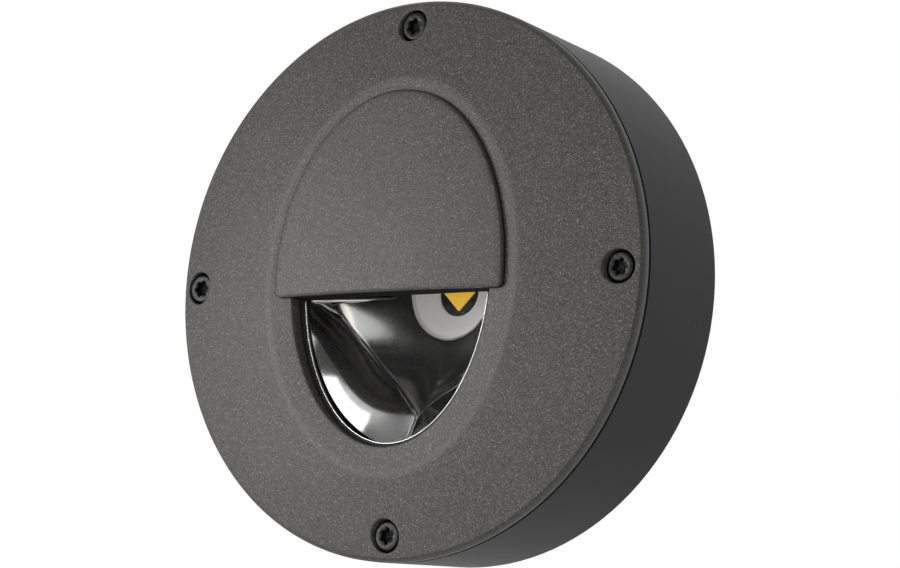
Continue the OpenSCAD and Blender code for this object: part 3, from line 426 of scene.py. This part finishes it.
def powder(
        name, dark, pale, grain=0.2, relief=0.035, sparkle=0.7, rough=(0.46, 0.54), gloss=1.5, on_cover=0.0):
    """Graphite powder coat: a fine orange peel, a tone that changes from grain to grain, and small flakes
    that catch the light. A painted highlight lightens the cover's crest and the shield's front, and painted
    shade darkens the shield's rounded edge along its arc. Gloss is the coat's index of refraction, and
    on_cover is 1 where the cover's painted shade line, its smooth rim and the painted shade of its insides
    are to show."""
    made = Finish(name)
    fine = made.noise(grain, 2, 0.7)
    coarse = made.noise(grain * 2.6, 2, 0.5)
    flakes = made.node("TexVoronoi", {"feature": "F1"}, {
        "Vector": made.place(), "Scale": 1 / (grain * MM), "Randomness": 1.0
    }, out=1)
    fleck = made.node("SeparateColor", {}, {0: flakes})
    bright = made.steps(fleck, 0.9, 1.0)
    cloud = made.noise(22, 2)
    tone = made.steps(fine, 0.38, 0.62) * 0.6 + made.steps(coarse, 0.3, 0.7) * 0.25 + cloud * 0.15
    colour = made.blend(tone, dark, pale)
    colour = made.blend(bright * sparkle, colour, tuple(min(1, c * 2) for c in pale[:3]) + (1,))
    # Painted highlight: the crest, and the shield's front, are lightened towards a paler tone.
    wear = made.node("Attribute", {"attribute_name": "painted_highlight"}, out=2)
    colour = made.blend(wear * highlight_share, colour, tuple(c * 1.5 for c in pale[:3]) + (1,))
    # Painted shade: the shield's rounded edge and wall go towards the dark tone.
    shaded_edge = made.node("Attribute", {"attribute_name": "edge_shade"}, out=2)
    colour = made.blend(shaded_edge * edge_shade_share, colour, dark)
    spot = made.node("TexCoord", out=3)
    side, forward, height = (made.node("SeparateXYZ", {}, {0: spot}, out=axis) for axis in range(3))
    radius = (side * side + height * height) ** 0.5

    def beyond(reach):
        """1 outside a ring about the axis, whose inner and outer radius are the reach, and 0 inside it."""
        return made.steps(radius, reach[0] * MM, reach[1] * MM)

    def within(reach):
        """1 inside such a ring, and 0 outside it."""
        return made.steps(radius, reach[0] * MM, reach[1] * MM, 1.0, 0.0)

    def below(floor_range):
        """1 nearer to the wall than a range of depths, and 0 in front of it."""
        return made.steps(forward, -floor_range[0] * MM, -floor_range[1] * MM)

    # Painted shade: a dark line round the edge where the dome turns down to the rim.
    shade_line = beyond(shade_line_in) * within(shade_line_out)
    colour = made.blend(shade_line * shade_line_share * on_cover, colour, dark)
    colour = made.blend(beyond(shade_line_out) * rim_share * on_cover, colour, rim_tone)
    # Painted shade: the insides of the window and of the wells go nearly black.
    window, wells = below(window_floor) * within(window_reach), below(wells_floor) * within(wells_reach)
    inside = window.maths("MAXIMUM", window, wells) * on_cover
    colour = made.blend(inside, colour, recess_shade_tone)
    peel = made.bump(fine * 0.5 + coarse * 0.5, relief)
    return made.finish(
        Base_Color=colour, Roughness=made.steps(fine, 0.3, 0.7, *rough), Normal=peel, Metallic=0.0, IOR=gloss)


cover_paint = powder(
    "graphite_powder", (0.01, 0.0095, 0.008, 1), (0.148, 0.143, 0.133, 1), sparkle=0.9, on_cover=1.0)
paint(cover, cover_paint)
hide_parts("front_cover")
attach(cover, "root")


# Shield over the upper half of the window, cast in one with the cover: a half oval that stands a little proud
# of the dome, with soft edges and a straight lower edge that hides the lamp.
shield_a, shield_b = 32.2, 43.3
shield_z = -4.2
proud = 0.8
corner = 1.5
lip = 0.7
step_d = 33.5


def shield_outline():
    """The half oval's outline and normals: the arc, a round corner, the straight lower edge and a round
    corner. Each is a line one corner radius inside, pushed out along its normals."""
    sweep = np.radians(np.linspace(-12, 90, 4000))
    points, normals = oval(shield_a, shield_b, sweep)
    inner = points - normals * corner
    low = sweep[np.argmin(np.abs(inner[:, 1] - (shield_z + corner)))]
    arc = np.linspace(low, np.pi - low, 200)
    points, normals = oval(shield_a, shield_b, arc)
    inner = points - normals * corner
    left = np.linspace(np.arctan2(normals[-1, 1], normals[-1, 0]) % (2 * np.pi), 1.5 * np.pi, 12)
    right = np.linspace(1.5 * np.pi, 2 * np.pi + np.arctan2(normals[0, 1], normals[0, 0]), 12)
    turn = [np.stack([np.cos(a), np.sin(a)], axis=-1) for a in (left, right)]
    line = np.linspace(0, 1, 60)[1:-1, None]
    middle = inner[-1] + (inner[0] - inner[-1]) * line
    down = np.tile([[0.0, -1.0]], (len(middle), 1))
    inner = np.vstack([inner[:-1], np.tile(inner[-1], (12, 1)), middle, np.tile(inner[0], (11, 1))])
    normals = np.vstack([normals[:-1], turn[0], down, turn[1][:-1]])
    return inner + normals * corner, normals


def shield_front(plan):
    """Depth of the shield's front: the dome's ball, made larger by how far the shield stands proud."""
    return dome(plan[..., 0], plan[..., 1], proud)


outline, sideways = shield_outline()
middle = np.array([0.0, 16.0])
inset = outline - sideways * lip
inner = outline - sideways * corner
front_shares, edge_sweeps = np.linspace(0.002, 1, 26), np.radians([15, 30, 45, 60, 75, 90])
wall_shares, back_shares = (0.1, 0.4, 0.7, 1), (0.3, 0.6, 0.998)
edge_break = 0.15
shield_rows = []
for share in front_shares:
    plan = middle + (inset - middle) * share
    shield_rows.append(on_face(plan, shield_front(plan)))
for sweep in edge_sweeps:
    plan = outline - sideways * lip * (1 - np.sin(sweep))
    shield_rows.append(on_face(plan, shield_front(plan) - lip * (1 - np.cos(sweep))))
wall_top = shield_front(outline) - lip
for share in wall_shares:
    shield_rows.append(on_face(outline, wall_top + (step_d + edge_break - wall_top) * share))
for plan, d in ((outline - sideways * edge_break, step_d), (inner, step_d), (inner, land_d)):
    shield_rows.append(on_face(plan, d))
for share in back_shares:
    shield_rows.append(on_face(inner + (middle - inner) * share, land_d))
shield = skin("cover_shield", shield_rows, close_columns=True, sharp=50)
# Painted shade: the shield's wall, underside and back take a near-black dull coat.
shade_coat = powder(
    "shade_powder", (0.008, 0.008, 0.008, 1), (0.022, 0.021, 0.02, 1), rough=(0.8, 0.9), gloss=1.15)
paint(shield, cover_paint)
shield.data.materials.append(shade_coat)
# The front is lightened by half of the crest's painted highlight, the rounded edge and the wall get painted
# shade along the arc but not along the straight lower edge, and the wall and the back have a dark dull coat
# that paints the shade there.
row_number = np.arange(len(shield_rows))
front_end = len(front_shares) - 1
edge_end = front_end + len(edge_sweeps)
wall_end = edge_end + len(wall_shares)
mark(shield, "painted_highlight", np.repeat(np.where(row_number < front_end, 0.5, 0), len(outline)))
round_shade = np.zeros(len(shield_rows))
round_shade[front_end:wall_end + 1] = 1
round_shade[front_end:front_end + 3] = (0.15, 0.5, 0.9)
flat_from, flat_span = -0.95, 0.3
arc_only = np.clip((sideways[:, 1] - flat_from) / flat_span, 0, 1)
mark(shield, "edge_shade", np.outer(round_shade, arc_only))
in_shade = np.repeat(row_number[:-1] >= edge_end, len(outline)).astype(np.int32)
shield.data.polygons.foreach_set("material_index", in_shade)
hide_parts("front_cover")
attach(shield, "root")


# Four cover screws of black passivated steel, their cylinder heads with a rounded edge and a six-lobed drive.
# They sit in the cover's wells and hold it to the housing.
head_r, head_d, head_edge = 3.3, 33.05, 0.4
lobe_r, lobe_wave, lobe_deep = 1.66, 0.27, 1.6
shank_r, shank_d = 2.0, 16.25
head_profile = ((head_r, 30.4), (head_r - 0.1, 30.25), (shank_r, 30.25), (shank_r, shank_d + 0.5),
                (1.6, shank_d), (0.02, shank_d))


def screw_rows(centre, turn):
    """A screw as rings round its axis: drive floor, six-lobed wall, top, rounded edge, head, shank and
    tip."""
    around = np.linspace(0, 2 * np.pi, 97)[:-1]
    spoke = np.stack([np.cos(around), np.sin(around)], axis=-1)
    lobes = (lobe_r + lobe_wave * np.cos(6 * (around - turn)))[:, None]
    floor_d = head_d - lobe_deep
    drive = ((0.02, floor_d - 0.5), (lobes * 0.75, floor_d), (lobes * 0.97, floor_d), (lobes, floor_d + 0.1),
             (lobes, head_d - 0.15), (lobes + 0.06, head_d - 0.04), (lobes + 0.16, head_d),
             (2.4, head_d + 0.03))
    edge_turn = np.radians(np.linspace(0, 90, 7))
    rounded = [
        (head_r - head_edge * (1 - np.sin(a)), head_d - head_edge * (1 - np.cos(a))) for a in edge_turn]
    return np.array([on_face(centre + spoke * r, d) for r, d in (*drive, *rounded, *head_profile)])


screws = []
for quarter, turn in enumerate((0.2, 0.35, 0.1, 0.42)):
    centre = screw_ring_r * np.array([np.cos(quarter * np.pi / 2), np.sin(quarter * np.pi / 2)])
    screws.append(screw_rows(centre, turn))
screws = np.array(screws)
screw_points = screws.shape[1] * screws.shape[2]
order = np.arange(screw_points).reshape(screws.shape[1:3])
order = np.hstack([order, order[:, :1]])
cell = np.stack([order[:-1, :-1], order[:-1, 1:], order[1:, 1:], order[1:, :-1]], axis=-1).reshape(-1, 4)
heads = solid("cover_screw_heads", screws.reshape(-1, 3),
              np.vstack([cell + number * screw_points for number in range(len(screws))]), sharp=40)

black = Finish("black_steel")
wear = black.steps(black.noise(0.7, 4, 0.6), 0.45, 0.75)
scratch = black.noise(0.25, 2, 0.5, black.place((1, 1, 6)))
paint(heads, black.finish(
    Base_Color=black.blend(wear, (0.012, 0.012, 0.013, 1), (0.035, 0.034, 0.034, 1)),
    Metallic=0.55, Roughness=black.steps(scratch, 0.2, 0.8, 0.28, 0.44), Normal=black.bump(scratch, 0.01)))
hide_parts("cover_screws")
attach(heads, "root")


# Rear housing: a slightly conical cup of cast aluminium with a smooth graphite coat, screwed to the wall, and
# the rubber that seals it. The silicone ring in the joint, the grommets of the cable entries, the seals under
# the wall screws and the gasket behind the housing are all moulded of the same black rubber.
# The housing's smooth coat is darker than the cover's powder, partly as painted shade on the housing's sides.
paint(nodes["rear_housing"], powder(
    "graphite_smooth", (0.024, 0.024, 0.025, 1), (0.036, 0.036, 0.037, 1), 0.25, 0.008, 0.1, (0.42, 0.5),
    1.22))


def rubber(name, colour, bloom=0.03):
    """Moulded silicone rubber: matt, with a fine grain, faint dust and slow changes of tone."""
    made = Finish(name)
    grain = made.noise(0.25, 3, 0.6)
    dust = made.steps(made.noise(3, 4, 0.6), 0.5, 0.8)
    lighter = tuple(c + bloom for c in colour[:3]) + (1,)
    return made.finish(
        Base_Color=made.blend(dust, colour, lighter), Roughness=made.steps(grain, 0.3, 0.7, 0.55, 0.75),
        Normal=made.bump(grain, 0.02))


seal_rubber = rubber("seal_rubber", (0.012, 0.012, 0.012, 1))
for name in ("front_gasket", "cable_grommet", "blind_grommet", "fixing_seals", "wall_gasket"):
    paint(nodes[name], seal_rubber)


# Glass seal: a moulded rubber sheet under the cover's land, with a lip that stands up inside the window below
# the shield and carries a thin bright strip.
pane_a, pane_b, pane_top = 34.0, 45.1, 4.5
opening_a, opening_b, opening_top = 28.35, 39.45, -3.2
hub_share, level_ray, no_cut = 0.35, 0.001, 1000


def cut_oval(a, b, top):
    """Outline of an oval cut off level at a height, by the angle round a point well inside it: each ray ends
    at the oval or at the cut, whichever is nearer."""
    hub = -hub_share * b
    east, north = np.cos(angle), np.sin(angle)
    square, half, rest = (east / a) ** 2 + (north / b) ** 2, north * hub / b**2, (hub / b) ** 2 - 1
    reach = (-half + np.sqrt(half**2 - square * rest)) / square
    cut = np.where(north > level_ray, (top - hub) / np.maximum(north, level_ray), no_cut)
    reach = np.minimum(reach, cut)
    return np.stack([east * reach, hub + north * reach], axis=-1)


pane_cut, opening_cut = cut_oval(pane_a, pane_b, pane_top), cut_oval(opening_a, opening_b, opening_top)
sheet_profile = (
    (0, 30.7), (0.02, 30.61), (0.98, 30.61), (1, 30.7), (1, 31.25), (0.98, 31.35), (0.02, 31.35), (0, 31.25))
sheet_rows = [on_face(pane_cut * share + (1 - share) * opening_cut, d) for share, d in sheet_profile]
seal_sheet = skin("seal_sheet", sheet_rows[::-1], close_rows=True, close_columns=True, sharp=40)

strip_drop, strip_b = 4.5, 39.0
strip_end = np.arcsin(strip_drop / strip_b)
strip_angle = np.linspace(-np.pi + strip_end, -strip_end, 241)


def along_window(profile):
    """Rows along the window's lower edge: each point of a profile gives the half widths and depth of an
    oval."""
    profile = np.array(profile)[:, None, :]
    flat = np.stack([profile[..., 0] * np.cos(strip_angle), profile[..., 1] * np.sin(strip_angle)], axis=-1)
    return on_face(flat, profile[..., 2])


def capped(name, lines, sharp):
    """A closed profile along an open path, as a skin with its two ends filled. Each line is one point of the
    profile along the whole path."""
    lines = np.asarray(lines)
    sides, length = lines.shape[:2]
    numbers = np.arange(sides * length).reshape(sides, length)
    loop = np.vstack([numbers, numbers[:1]])
    quads = np.stack([loop[:-1, :-1], loop[:-1, 1:], loop[1:, 1:], loop[1:, :-1]], axis=-1).reshape(-1, 4)
    ends = [numbers[:, 0].tolist(), numbers[::-1, -1].tolist()]
    return solid(name, lines.reshape(-1, 3), quads, ends, sharp=sharp)


lip_profile = (
    (28.6, 39.7, 31.37), (27.95, 39.05, 31.4), (27.95, 39.05, 34.45), (27.85, 38.97, 34.65),
    (27.6, 38.9, 34.8), (26.9, 38.72, 34.82), (26.2, 38.46, 34.8), (26.07, 38.37, 34.75),
    (26.07, 38.37, 34.6), (25.8, 38.1, 34.6), (25.76, 38.06, 34.58), (25.75, 38.05, 34.52),
    (25.8, 38.1, 34.47), (27.5, 38.7, 34.4), (27.75, 38.85, 34.2), (27.75, 38.85, 31.4),
    (28.0, 39.1, 31.2), (28.6, 39.7, 31.2))
seal_lip = capped("seal_lip", along_window(lip_profile)[::-1], 40)
strip_profile = (
    (26.05, 38.35, 34.6), (26.05, 38.35, 34.8), (26.02, 38.32, 34.87), (25.96, 38.26, 34.9),
    (25.9, 38.2, 34.9), (25.84, 38.14, 34.87), (25.8, 38.1, 34.8), (25.8, 38.1, 34.6))
strip = capped("window_strip", along_window(strip_profile)[::-1], 40)
for piece in (seal_sheet, seal_lip):
    paint(piece, seal_rubber)
    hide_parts("glass_seal")
    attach(piece, "root")

polished = Finish("polished_strip")
brushed = polished.noise(0.6, 3, 0.6)
paint(strip, polished.finish(
    Base_Color=polished.blend(brushed, (0.78, 0.78, 0.79, 1), (0.86, 0.86, 0.86, 1)), Metallic=1.0,
    Roughness=polished.steps(brushed, 0.2, 0.8, 0.12, 0.2), Normal=polished.bump(brushed, 0.006)))
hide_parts("window_trim")
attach(strip, "root")


# Glass: a pane of clear safety glass in front of the reflector, clamped from behind between its seal and a
# frame of black coated sheet steel.
clear = Finish("safety_glass")
smear = clear.noise(9, 3, 0.6)
tint = clear.blend(smear, (0.975, 0.98, 0.975, 1), (0.99, 0.99, 0.985, 1))
through = clear.node("BsdfTransparent", {}, {"Color": tint})
shine = clear.node("BsdfPrincipled", {}, {
    "Base Color": (1, 1, 1, 1), "Metallic": 1.0, "Roughness": clear.steps(smear, 0.3, 0.7, 0.015, 0.03)})
edge_on = clear.node("LayerWeight", {}, {0: 0.5}, out=1)
face_on_share, edge_on_share = 0.0005, 0.8
mirror_share = face_on_share + edge_on_share * edge_on ** 5
clear.node("OutputMaterial", {}, {
    "Surface": clear.node("MixShader", {}, {0: mirror_share, 1: through, 2: shine})})
paint(nodes["glass_pane"], clear.material)


def coated(name, colour, rough=0.45):
    """Black coated sheet steel: a thin even coat with faint mottling."""
    made = Finish(name)
    grain = made.noise(0.4, 3, 0.6)
    return made.finish(
        Base_Color=made.blend(grain, colour, tuple(c * 1.4 for c in colour[:3]) + (1,)),
        Roughness=made.steps(grain, 0.3, 0.7, rough - 0.06, rough + 0.06), Normal=made.bump(grain, 0.01))


paint(nodes["glass_frame"], coated("frame_coat", (0.016, 0.017, 0.018, 1)))


# Reflector, pressed from bright anodised aluminium sheet: two lobes that meet in a crease below the lamp,
# each folded once between lamp and rim, with a rolled upper edge.
bowl_a, bowl_b = 31.05, 39.1
hole_r, hole_d, rim_depth = 11.6, 12.1, 27.4
fold_places = (44.225, -44.801, 18.711, -3.964, 0.857)
fold_up_end, fold_up_middle = 0.725, 0.392
rim_start, hole_start, hole_lift = 5.4, 7.5, 20
bulge, crown, hollow = 0.8, 1.6, 2.0
ridge_high, ridge_half = 0.1, 0.022


def swell(share):
    """A rise from 0 at either end to about 1, a little beyond the middle."""
    return 4 * share * (1 - share) * (0.5 + share)


def bowl(share_round, share_out):
    """The reflector's front by two shares: round it from its left end to its right, and from the hole out to
    the rim, where 1 is the fold and 2 the rim. Each line out runs from hole to fold, crowned at the two ends
    and hollow between them, and from fold to rim, a little crowned. A fine ridge stands on the fold and where
    the lobes meet."""
    sweep = 2 * share_round - 1
    lift = hole_lift * np.clip(1 - 4 * share_out, 0, None) ** 2
    rim_angle = np.radians(-90 + sweep * (90 - rim_start))
    hole_angle = np.radians(-90 + sweep * (90 - hole_start + lift))
    bend = np.abs(np.sin(2 * rim_angle))
    fold_out = np.polyval(fold_places, np.minimum(share_round, 1 - share_round))
    fold_up = fold_up_end + (fold_up_middle - fold_up_end) * bend
    inner, outer = np.clip(share_out, 0, 1), np.clip(share_out - 1, 0, 1)
    out = fold_out * inner + (1 - fold_out) * outer
    depth = hole_d + (rim_depth - hole_d) * (fold_up * inner + (1 - fold_up) * outer)
    depth += bulge * bend * 4 * outer * (1 - outer)
    depth += (crown - (crown + hollow) * (1 - sweep**2)) * swell(inner)
    depth += ridge_high * np.clip(1 - (share_out - 1) ** 2 / ridge_half**2, 0, None)
    depth += ridge_high * np.clip(1 - sweep**2 / (0.4 * ridge_half) ** 2, 0, None) * inner
    hole = hole_r * np.stack([np.cos(hole_angle), np.sin(hole_angle)], axis=-1)
    rim = np.stack([bowl_a * np.cos(rim_angle), bowl_b * np.sin(rim_angle)], axis=-1)
    return on_face(hole + (rim - hole) * out[..., None], depth)


fine = np.linspace(-1, 1, 9)
round_steps = np.concatenate([
    np.linspace(0, 0.49, 120), 0.5 + fine * 0.3 * ridge_half, np.linspace(0.51, 1, 120)])
out_steps = np.concatenate([np.linspace(0, 0.96, 24), 1 + fine * ridge_half, np.linspace(1.04, 2, 24)])
round_share, out_share = np.meshgrid(round_steps, out_steps)
mirror_sheet = skin("reflector_sheet", bowl(round_share, out_share), sharp=14)
mark(mirror_sheet, "inner_facet", out_share < 0.99)
sheet_t = 0.8
thickness = mirror_sheet.modifiers.new("sheet", "SOLIDIFY")
thickness.thickness = sheet_t * MM
thickness.offset = -1
mirror = Finish("bright_aluminium")
ripple = mirror.noise(7, 2, 0.4)
haze = mirror.noise(1.5, 3, 0.6)
satin = mirror.node("Attribute", {"attribute_name": "inner_facet"}, out=2)
paint(mirror_sheet, mirror.finish(
    Base_Color=mirror.blend(haze, (0.86, 0.865, 0.87, 1), (0.9, 0.9, 0.9, 1)), Metallic=1.0,
    Roughness=mirror.steps(haze, 0.2, 0.8, 0.08, 0.12) + satin * 0.08, Normal=mirror.bump(ripple, 0.02)))

edge_r = 0.5
edge_turns = np.linspace(0, 2 * np.pi, 25)[:-1]
bar = np.linspace(0, 1, 60)
bar_rise = crown * swell(np.clip((1 - bar) / fold_places[-1], 0, 1))
bar_at = (0, 0.55, 0.8, 0.93, 1)
spine = np.stack([np.interp(bar, bar_at, (-30.8, -19.9, -15.4, -12.9, -11.6)),
                  np.interp(bar, bar_at, (27.4, 17.8, 13.9, 12.5, 12.1)) + bar_rise,
                  np.interp(bar, bar_at, (-3.2, -2.15, -1.6, -0.45, 1.2)) - 0.1 * bar_rise], axis=-1)
smoothing = 9
kernel = np.hanning(smoothing) / np.hanning(smoothing).sum()
longer = np.pad(spine, ((smoothing // 2,) * 2, (0, 0)), mode="reflect", reflect_type="odd")
spine = np.stack([np.convolve(column, kernel, "valid") for column in longer.T], axis=-1)


def tube(spine, radius, turns):
    """A round tube along a line of points: each ring lies square to the line, with its ends drawn in."""
    ahead = np.gradient(spine, axis=0)
    ahead /= np.linalg.norm(ahead, axis=1, keepdims=True)
    side = np.cross(ahead, (0.0, 0.0, 1.0))
    side /= np.linalg.norm(side, axis=1, keepdims=True)
    over = np.cross(side, ahead)
    from_start = np.arange(len(spine))
    thick = radius * np.clip(np.minimum(from_start, from_start[::-1]) / 2, 0.05, 1) ** 0.5
    return spine[None] + thick[None, :, None] * (
        np.cos(turns)[:, None, None] * side + np.sin(turns)[:, None, None] * over)


rolled = Finish("rolled_edge")
drawn = rolled.noise(0.5, 3, 0.6)
rolled_edge = rolled.finish(
    Base_Color=rolled.blend(drawn, (0.88, 0.88, 0.88, 1), (0.94, 0.94, 0.93, 1)), Metallic=1.0,
    Roughness=rolled.steps(drawn, 0.2, 0.8, 0.34, 0.42), Normal=rolled.bump(drawn, 0.006))
for name, hand in (("reflector_edge_left", 1), ("reflector_edge_right", -1)):
    rings = tube(spine * (hand, 1, 1), edge_r, edge_turns * -hand)
    roll = capped(name, np.stack([rings[..., 0], -rings[..., 1], rings[..., 2]], axis=-1), 50)
    paint(roll, rolled_edge)
    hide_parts("reflector")
    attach(roll, "root")
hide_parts("reflector")
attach(mirror_sheet, "root")


# Lamp: a white moulded ring round a square of yellow phosphor on its dark board, screwed through a soft grey
# pad to the housing, which takes its heat.
def moulded(name, colour, rough=0.4, grain=0.3, relief=0.01, painted_glow=0.0):
    """Moulded plastic: even colour with a slow drift, a fine spark-eroded grain and a soft sheen. Its glow is
    painted light: an emission that brightens the plastic, though the lamp is unlit."""
    made = Finish(name)
    fine = made.noise(grain, 3, 0.6)
    drift = made.noise(8, 2, 0.5)
    darker = tuple(c * 0.92 for c in colour[:3]) + (1,)
    return made.finish(
        Base_Color=made.blend(drift, darker, colour),
        Roughness=made.steps(fine, 0.3, 0.7, rough - 0.05, rough + 0.08),
        Normal=made.bump(fine, relief), Emission_Color=(1, 0.97, 0.95, 1), Emission_Strength=painted_glow)


# The lamp is unlit: the glows of its ring and of its chip are painted light.
ring_painted_glow, chip_painted_glow = 0.13, 0.45
paint(nodes["lamp_ring"], moulded("ring_plastic", (0.97, 0.96, 0.96, 1), 0.3, painted_glow=ring_painted_glow))
phosphor = Finish("yellow_phosphor")
crystals = phosphor.noise(0.35, 4, 0.7)
paint(nodes["lamp_chip"], phosphor.finish(
    Base_Color=phosphor.blend(phosphor.steps(crystals, 0.3, 0.7), (1, 0.6, 0.06, 1), (1, 0.78, 0.15, 1)),
    Roughness=0.35, Normal=phosphor.bump(crystals, 0.03),
    Emission_Color=(1, 0.55, 0.06, 1), Emission_Strength=chip_painted_glow))
paint(nodes["lamp_board"], moulded("dark_mask", (0.02, 0.03, 0.025, 1), 0.3))
paint(nodes["thermal_pad"], rubber("pad_rubber", (0.3, 0.35, 0.4, 1)))


# Inside the housing, hidden but for the vent in its back: the driver in its moulded case, the terminals for
# the supply, the leads in their sleeves, and the plated screws that hold these, the lamp, the reflector and
# the frame.
def plated(name, colour, rough=0.28):
    """Plated metal: turning marks, faint patches where the plating is duller."""
    made = Finish(name)
    turned = made.noise(0.2, 2, 0.5, made.place((1, 5, 1)))
    patches = made.noise(2, 3, 0.6)
    return made.finish(
        Base_Color=made.blend(patches, tuple(c * 0.85 for c in colour[:3]) + (1,), colour), Metallic=1.0,
        Roughness=made.steps(turned, 0.3, 0.7, rough - 0.06, rough + 0.08), Normal=made.bump(turned, 0.008))


zinc = plated("zinc_plate", (0.6, 0.61, 0.63, 1))
brass = plated("brass", (0.6, 0.48, 0.22, 1))
tinned = plated("tinned_copper", (0.62, 0.6, 0.55, 1))
for name in ("frame_screws", "reflector_screws", "lamp_screws", "driver_screws", "terminal_screw"):
    paint(nodes[name], zinc)
for name in ("clamp_screws", "earth_screw"):
    paint(nodes[name], brass)
paint(nodes["earth_tag"], tinned)
for name, colour in (
    ("driver_case", (0.74, 0.74, 0.71, 1)), ("driver_lid", (0.72, 0.72, 0.69, 1)),
    ("driver_board", (0.03, 0.14, 0.06, 1)), ("driver_coil", (0.2, 0.09, 0.03, 1)),
    ("driver_capacitors", (0.02, 0.04, 0.1, 1)), ("terminal_block", (0.76, 0.75, 0.7, 1)),
    ("live_lead", (0.16, 0.06, 0.02, 1)), ("neutral_lead", (0.03, 0.12, 0.45, 1)),
    ("earth_lead", (0.2, 0.42, 0.03, 1)), ("lamp_lead_plus", (0.38, 0.02, 0.012, 1)),
    ("lamp_lead_minus", (0.012, 0.012, 0.012, 1)), ("pressure_vent", (0.035, 0.037, 0.04, 1)),
):
    paint(nodes[name], moulded(name + "_plastic", colour))

bpy.context.view_layer.update()
